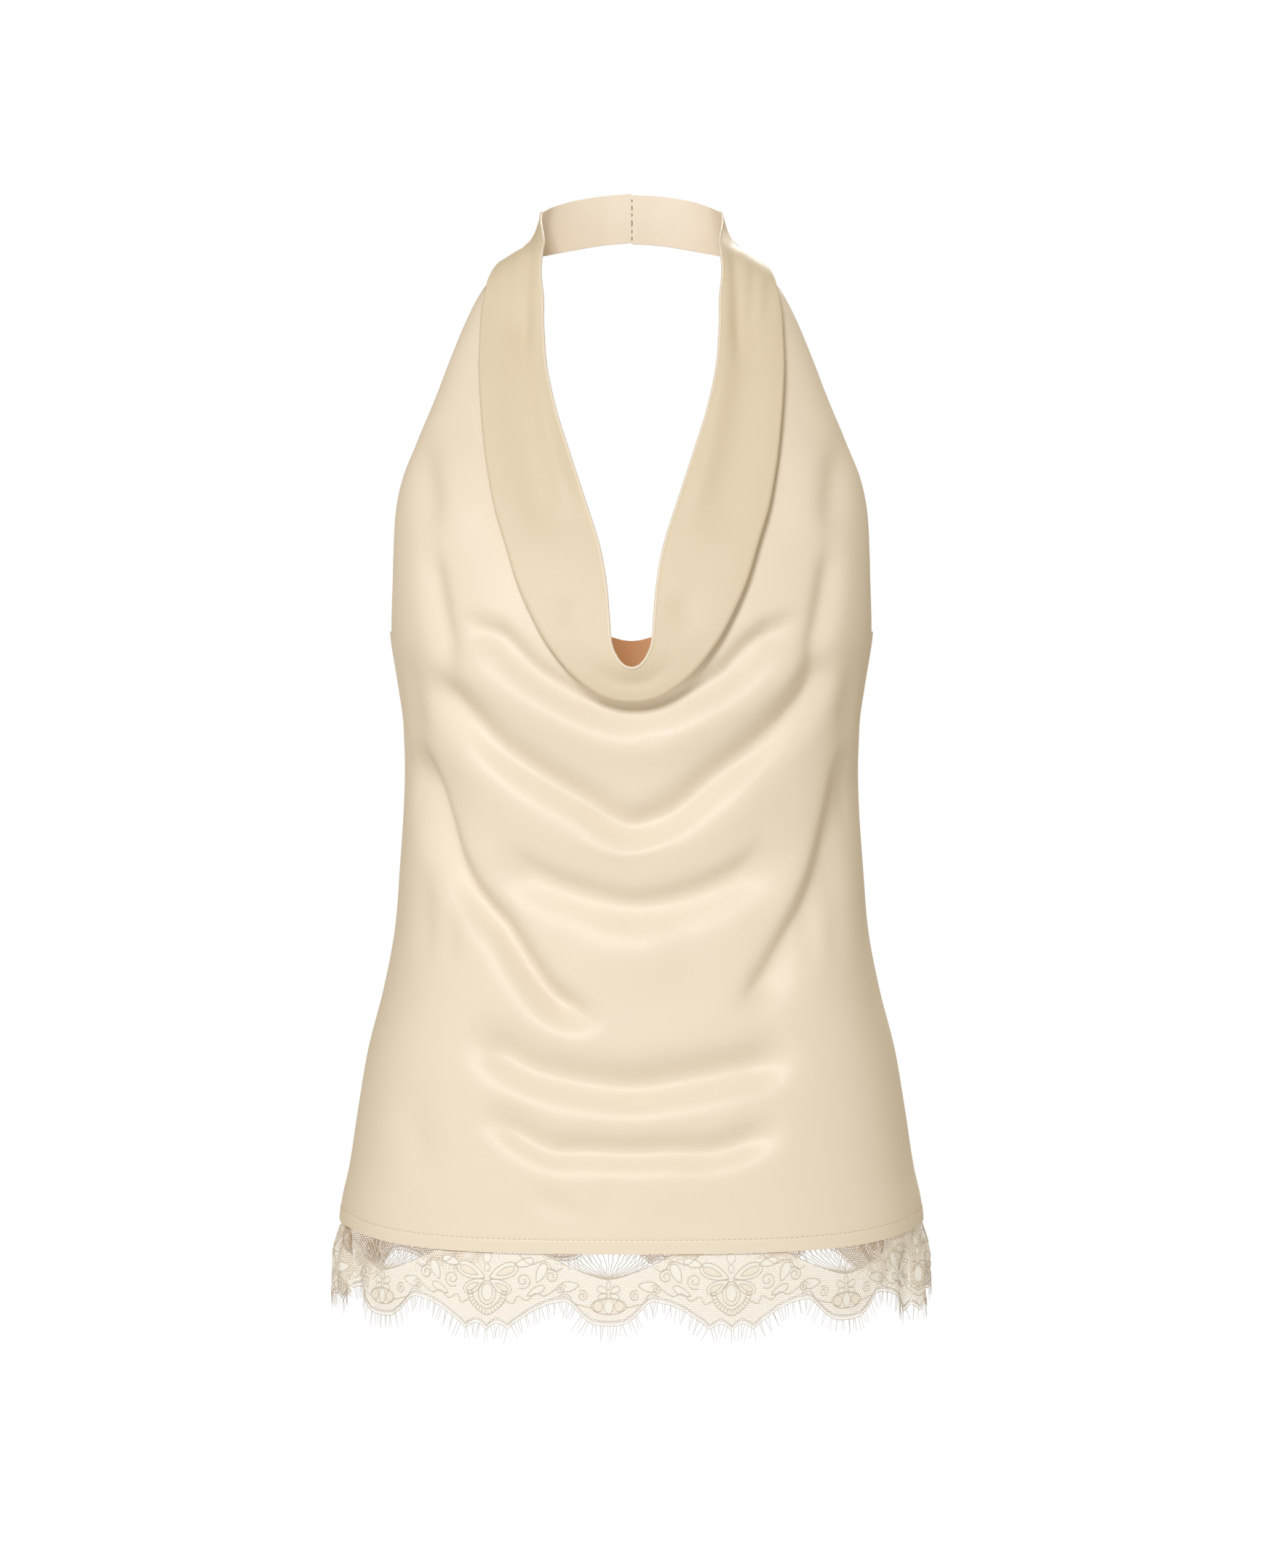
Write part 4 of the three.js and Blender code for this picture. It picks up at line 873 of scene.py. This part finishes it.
ring_angle = np.linspace(0, math.pi, 361)
ring_points = form_point(ring_angle, LACE_RING_Z)
ring_steps = np.linalg.norm(np.diff(ring_points, axis=0), axis=1)
ring_run = np.concatenate([[0], np.cumsum(ring_steps)])
waving = smoothstep(ring_run, WAVES_FROM, WAVES_FROM + LACE_WAVE)
waving = waving * (1 - smoothstep(ring_run, WAVES_TO - LACE_WAVE, WAVES_TO))
slack = LACE_SLACK / np.sum(waving[1:] * ring_steps)
lace_run = np.concatenate([[0], np.cumsum(ring_steps * (1 + slack * waving[1:]))])
lace_wave = LACE_WAVE / math.pi * np.sqrt(slack * waving)
lace_wave = lace_wave * np.cos(2 * math.pi * (ring_run - WAVES_FROM) / LACE_WAVE)
LACE_WHOLE = 2 * lace_run[-1]
NET_STEP = LACE_WHOLE / round(LACE_WHOLE / NET_CELL)


def lace_angle(run):
    behind = run > LACE_WHOLE / 2
    short = np.abs(np.where(behind, run - LACE_WHOLE, run))
    angle = np.interp(short, lace_run, ring_angle) * np.where(run < 0, -1, 1)
    return np.where(behind, 2 * math.pi - angle, angle), np.interp(short, lace_run, lace_wave)


def lace_place(run, z, proud=0.0):
    """Where a place of the flat lace hangs: its run from the centre front, and its height."""
    angle, wave = lace_angle(run)
    below = hem_z(angle) - z
    stand = wave * smoothstep(below, 0.001, LACE_FREE) - LACE_BEHIND * (1 - smoothstep(below, 0, 0.012))
    return lifted(angle, z, stand + proud)


def scallop_z(run):
    away = run - LARGE_FLOWER_RUN
    away = np.abs(away - LACE_REPEAT * np.round(away / LACE_REPEAT))
    return VALLEY_Z - np.interp(away, LACE_EDGE[:, 0], LACE_EDGE[:, 1])


def petal(at, z, long, wide, turn, count=26):
    """A petal's outline from its root, turned clockwise from upright."""
    t = np.linspace(0, 2 * math.pi, count)
    along = long * (1 - np.cos(t)) / 2
    across = wide / 2 * np.sin(t) * np.abs(np.sin(t / 2)) ** 0.7 * 1.25
    turn = math.radians(turn)
    return np.stack([at + along * math.sin(turn) + across * math.cos(turn),
                     z + along * math.cos(turn) - across * math.sin(turn)], -1)


def oval(at, z, wide, high, count=22):
    t = np.linspace(0, 2 * math.pi, count)
    return np.stack([at + wide / 2 * np.cos(t), z + high / 2 * np.sin(t)], -1)


def curl(at, z, radius, start, way, count=22):
    """A scroll that winds in for a turn and a half."""
    t = np.linspace(0, 1, count)
    turn = math.radians(start) + way * 3 * math.pi * t
    size = radius * (1 - 0.8 * t)
    return np.stack([at + size * np.cos(turn), z + size * np.sin(turn)], -1)


def both_sides(middle, shapes):
    other = [np.stack([2 * middle - shape[:, 0], shape[:, 1]], -1)[::-1] for shape in shapes]
    return shapes + other


# The large flower's own shapes, in metres from its middle. First what is close cloth work.
flower_z = -0.685
flower_cloth = both_sides(0, [
    petal(0.0015, flower_z + 0.0005, 0.0190, 0.0088, 68),
    petal(0.0015, flower_z - 0.0010, 0.0150, 0.0072, 118),
    petal(0.0250, flower_z - 0.0100, 0.0120, 0.0042, 62),
    petal(0.0170, flower_z + 0.0080, 0.0125, 0.0048, 74),
    petal(0.0310, flower_z - 0.0020, 0.0125, 0.0056, 24),
])
flower_cloth += [oval(0, flower_z - 0.0085, 0.0066, 0.0104), oval(0, flower_z + 0.0128, 0.0052, 0.0066),
                 oval(0, flower_z + 0.0064, 0.0036, 0.0046)]
flower_middles = both_sides(0, [
    petal(0.0058, flower_z + 0.0020, 0.0122, 0.0044, 68),
    petal(0.0052, flower_z - 0.0030, 0.0090, 0.0034, 118),
])
flower_veins = both_sides(0, [
    curl(0.0225, flower_z - 0.0010, 0.0052, 240, 1),
    curl(0.0400, flower_z + 0.0020, 0.0046, 120, -1),
    spline_path(((0.0110, -0.6980), (0.0165, -0.7000), (0.0190, -0.6955), (0.0250, -0.6980), (0.0300, -0.6935),
                 (0.0360, -0.6950), (0.0430, -0.6905)), VEIN_STEP),
    spline_path(((0.0200, -0.6705), (0.0270, -0.6760), (0.0360, -0.6740), (0.0420, -0.6800), (0.0470, -0.6780)),
                VEIN_STEP),
])
flower_veins.append(oval(0, flower_z - 0.0088, 0.0110, 0.0145))
LADDER = (
    # the outer edge of the band of rungs under the large flower
    (-0.0125, -0.6930), (-0.0108, -0.6990), (-0.0062, -0.7040), (0, -0.7072), (0.0062, -0.7040),
    (0.0108, -0.6990), (0.0125, -0.6930),
)
LADDER_WIDE = 0.76
ladder_middle = np.array((0, flower_z - 0.0075))
ladder_outer = spline_path(LADDER, VEIN_STEP)
ladder_inner = ladder_middle + (ladder_outer - ladder_middle) * LADDER_WIDE
for first in range(0, len(ladder_outer) - 3, 3):
    rung = slice(first, first + 4)
    flower_cloth.append(np.concatenate([ladder_outer[rung], ladder_inner[rung][::-1]]))
flower_veins += [ladder_outer, ladder_inner]
flower_veins += [np.stack([a, b]) for a, b in zip(ladder_outer[::3], ladder_inner[::3])]

# The small flower with its fan, half a repeat further on.
fan_z = -0.687
fan_at = LACE_REPEAT / 2
FAN_WIDE = 0.040
FAN_HIGH = 0.0155
FAN_BOWL = 1.35
FAN_BARS = 19
small_cloth = both_sides(fan_at, [
    petal(fan_at + 0.0008, fan_z - 0.0058, 0.0066, 0.0038, 62),
    petal(fan_at + 0.0008, fan_z - 0.0068, 0.0060, 0.0036, 116),
    petal(fan_at + 0.0180, fan_z - 0.0012, 0.0120, 0.0060, 98),
])
small_cloth += [oval(fan_at, fan_z - 0.0014, 0.0026, 0.0048), oval(fan_at, fan_z - 0.0140, 0.0056, 0.0092)]
small_middles = both_sides(fan_at, [oval(fan_at + 0.0065, fan_z - 0.0140, 0.0060, 0.0064)])
small_veins = both_sides(fan_at, [
    curl(fan_at + 0.0160, fan_z - 0.0078, 0.0036, 60, 1),
    curl(fan_at + 0.0290, fan_z - 0.0040, 0.0034, 160, -1),
    spline_path(((fan_at + 0.0105, -0.7020), (fan_at + 0.0150, -0.7010), (fan_at + 0.0210, -0.6990),
                 (fan_at + 0.0250, -0.6940), (fan_at + 0.0310, -0.6950)), VEIN_STEP),
])
small_veins.append(oval(fan_at, fan_z - 0.0140, 0.0215, 0.0100))
fan_dice = np.random.default_rng(7)


def fan_bottom(away):
    """The fan's lower edge: a shallow bowl under the hem, deepest in the middle."""
    return fan_z + 0.0020 + FAN_HIGH * np.minimum(1, np.abs(away) / FAN_WIDE) ** FAN_BOWL


bowl = np.linspace(-FAN_WIDE, FAN_WIDE, 50)
small_veins.append(np.stack([fan_at + bowl, fan_bottom(bowl)], -1))
for reach in np.linspace(-1, 1, FAN_BARS):
    t = np.linspace(0, 1, 9)
    away = FAN_WIDE * 0.94 * reach * t + fan_dice.uniform(-0.0006, 0.0006, 9) * (t > 0)
    lift = fan_z + 0.0025 + 0.0185 * t ** (1 + 0.6 * abs(reach))
    small_veins.append(np.stack([fan_at + away, np.maximum(lift, fan_bottom(away))], -1))


def lace_shapes(shapes, start, end):
    """Every repeat's copy of some shapes that lies on a stretch of lace, below its top edge."""
    placed = []
    first = int(math.floor((start - LARGE_FLOWER_RUN) / LACE_REPEAT)) - 1
    last = int(math.ceil((end - LARGE_FLOWER_RUN) / LACE_REPEAT)) + 1
    for repeat in range(first, last + 1):
        for shape in shapes:
            moved = shape + np.array((LARGE_FLOWER_RUN + repeat * LACE_REPEAT, 0))
            top = hem_z(lace_angle(moved[:, 0])[0]) + LACE_TUCK
            inside = (moved[:, 0] > start + CLIPPED_END) & (moved[:, 0] < end - CLIPPED_END) & (moved[:, 1] < top)
            stretch = []
            for keep, point in zip(inside, moved):
                if keep:
                    stretch.append(point)
                elif len(stretch) > 1:
                    placed.append(np.array(stretch))
                    stretch = []
                else:
                    stretch = []
            if len(stretch) > 1:
                placed.append(np.array(stretch))
    return placed


def net_piece(name, start, end):
    """Six-sided net cells, each a narrow frame of thread, cut to the scalloped edge."""
    rise = NET_STEP * math.sqrt(3) / 2
    rows, columns = np.mgrid[0:int(LACE_HIGH / rise), int(start / NET_STEP) - 2:int(end / NET_STEP) + 2]
    run = NET_STEP * (columns + 0.5 * (rows % 2)).ravel()
    z = (SIDE_HEM_Z + LACE_TUCK - rise * rows).ravel()
    top = hem_z(lace_angle(run)[0]) + LACE_TUCK
    kept = (z < top) & (z > scallop_z(run) + NET_STEP * 0.35) & (run >= start) & (run < end)
    away = run - LARGE_FLOWER_RUN - fan_at
    away = away - LACE_REPEAT * np.round(away / LACE_REPEAT)
    kept &= ~((np.abs(away) < FAN_WIDE) & (z > fan_bottom(away)))
    run, z = run[kept], z[kept]
    corner = np.radians(30 + 60 * np.arange(6))
    radius = NET_STEP / math.sqrt(3)
    clear = np.where(z - scallop_z(run) < BORDER_HIGH, BORDER_OPEN, NET_OPEN)[:, None]
    run, z = run[:, None], z[:, None]
    outer = np.stack([run + radius * np.cos(corner), z + radius * np.sin(corner)], -1)
    inner = np.stack([run + clear * radius * np.cos(corner), z + clear * radius * np.sin(corner)], -1)
    key = np.round(outer.reshape(-1, 2) * 1e6).astype(np.int64)
    shared, first, index = np.unique(key, axis=0, return_index=True, return_inverse=True)
    flat = np.concatenate([outer.reshape(-1, 2)[first], inner.reshape(-1, 2)])
    index = index.reshape(-1, 6)
    own = len(shared) + np.arange(len(run) * 6).reshape(-1, 6)
    after = np.roll(np.arange(6), -1)
    faces = np.stack([index, index[:, after], own[:, after], own], -1).reshape(-1, 4)
    net = bpy.data.meshes.new(name)
    net.from_pydata(lace_place(flat[:, 0], flat[:, 1]).tolist(), [], faces.tolist())
    spread = net.uv_layers.new(name="cloth")
    corners = np.zeros(len(net.loops), np.int32)
    net.loops.foreach_get("vertex_index", corners)
    spread.data.foreach_set("uv", flat[corners].reshape(-1))
    piece = bpy.data.objects.new(name, net)
    bpy.context.collection.objects.link(piece)
    return piece


def cloth_work_piece(name, shapes, proud):
    """Close cloth work inside each outline, a hair proud of the net."""
    flat, faces = [], []
    for shape in shapes:
        if len(shape) < 6:
            continue
        middle = shape.mean(0)
        first = sum(len(part) for part in flat)
        n = len(shape)
        rings = [middle + (shape - middle) * share for share in (1, 0.6, 0.25)]
        flat.append(np.concatenate(rings + [middle[None]]))
        for ring in range(2):
            for i in range(n):
                a, b = first + ring * n + i, first + ring * n + (i + 1) % n
                faces.append((a, b, b + n, a + n))
        for i in range(n):
            faces.append((first + 2 * n + i, first + 2 * n + (i + 1) % n, first + 3 * n))
    flat = np.concatenate(flat)
    work = bpy.data.meshes.new(name)
    work.from_pydata(lace_place(flat[:, 0], flat[:, 1], proud).tolist(), [], faces)
    piece = bpy.data.objects.new(name, work)
    bpy.context.collection.objects.link(piece)
    bpy.ops.object.select_all(action="DESELECT")
    piece.select_set(True)
    bpy.context.view_layer.objects.active = piece
    bpy.ops.object.mode_set(mode="EDIT")
    bpy.ops.mesh.select_all(action="SELECT")
    bpy.ops.mesh.remove_doubles(threshold=0.00002)
    bpy.ops.object.mode_set(mode="OBJECT")
    return piece


def edge_lines(start, end):
    """The border's cords: one on the scalloped edge and two finer ones above it."""
    run = np.arange(start + 0.0003, end - 0.0003, 0.0011)
    return [np.stack([run, scallop_z(run) + up], -1) for up in EDGE_CORDS_UP]


lace_net = thread_material("lace_net", NET_COLOUR, 0.93, 0.2)
lace_cloth = thread_material("lace_cloth_work", LACE_COLOUR, 0.94, 0.3)
lace_cord = thread_material("lace_cord", CORD_COLOUR, 0.9, 0.15)

lace_seam = float(np.interp(seam_angle(LACE_RING_Z), ring_angle, lace_run))
LACE_STRETCHES = (
    # piece, run of its first end and of its last, from the centre front
    ("front", -lace_seam + LACE_SEAM_GAP, lace_seam - LACE_SEAM_GAP),
    ("back", lace_seam + LACE_SEAM_GAP, LACE_WHOLE - lace_seam - LACE_SEAM_GAP),
)
lace_sewn = {}
for place, start, end in LACE_STRETCHES:
    net = net_piece("lace_net_" + place, start, end)
    net.data.materials.append(lace_net)
    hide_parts("lace_" + place)
    flowers = lace_shapes(flower_cloth + small_cloth, start, end)
    work = cloth_work_piece("lace_flowers_" + place, flowers, CLOTH_WORK_PROUD)
    work.data.materials.append(lace_cloth)
    insides = lace_shapes(flower_middles + small_middles, start, end)
    middles = cloth_work_piece("lace_middles_" + place, insides, MIDDLE_PROUD)
    middles.data.materials.append(lace_net)
    shapes = flower_cloth + flower_middles + flower_veins + small_cloth + small_middles + small_veins
    lines = lace_shapes(shapes, start, end) + edge_lines(start, end)
    routes = [lace_place(line[:, 0], line[:, 1], CORD_PROUD) for line in lines]
    cords = sew("lace_cords_" + place, routes, CORD_RADIUS)
    cords.data.materials.append(lace_cord)
    lace_sewn[place] = [net, work, middles, cords]
    for piece in lace_sewn[place]:
        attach(piece, "root")

# Eyelashes: the warp ends of the lace, left long below its edge as a thin uneven fringe.
EYELASH_LONG = 0.0092
EYELASH_STEP = 0.0042
EYELASH_PAIR = 0.0013
EYELASH_RADIUS = 0.00017
EYELASH_TIP = 0.45
EYELASH_COLOUR = (0.66, 0.61, 0.55, 1)
eyelash_thread = thread_material("eyelash_thread", EYELASH_COLOUR, 0.85, 0.1)
lash_dice = np.random.default_rng(3)


def eyelashes(start, end):
    routes = []
    pairs = np.arange(start + 0.0015, end - 0.0015 - EYELASH_PAIR, EYELASH_STEP)
    for run in np.sort(np.concatenate([pairs, pairs + EYELASH_PAIR])):
        run = run + lash_dice.uniform(-0.0005, 0.0005)
        slope = (scallop_z(run + 0.002) - scallop_z(run - 0.002)) / 0.004
        long = EYELASH_LONG * lash_dice.uniform(0.72, 1.12)
        lean = 0.45 * slope + lash_dice.uniform(-0.16, 0.16)
        bend = lash_dice.uniform(-0.12, 0.12)
        t = np.linspace(0, 1, 5)
        at = run + long * (lean * t + bend * t * t)
        z = scallop_z(run) + 0.0003 - long * t * (1 - 0.06 * t)
        routes.append(lace_place(at, z, lash_dice.uniform(-0.0003, 0.0003)))
    return routes


for place, start, end in LACE_STRETCHES:
    lashes = sew("eyelashes_" + place, eyelashes(start, end), EYELASH_RADIUS, tip=EYELASH_TIP)
    lashes.data.materials.append(eyelash_thread)
    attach(lashes, "root")
    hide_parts("fringe_" + place)
    net, *sewn = lace_sewn[place]
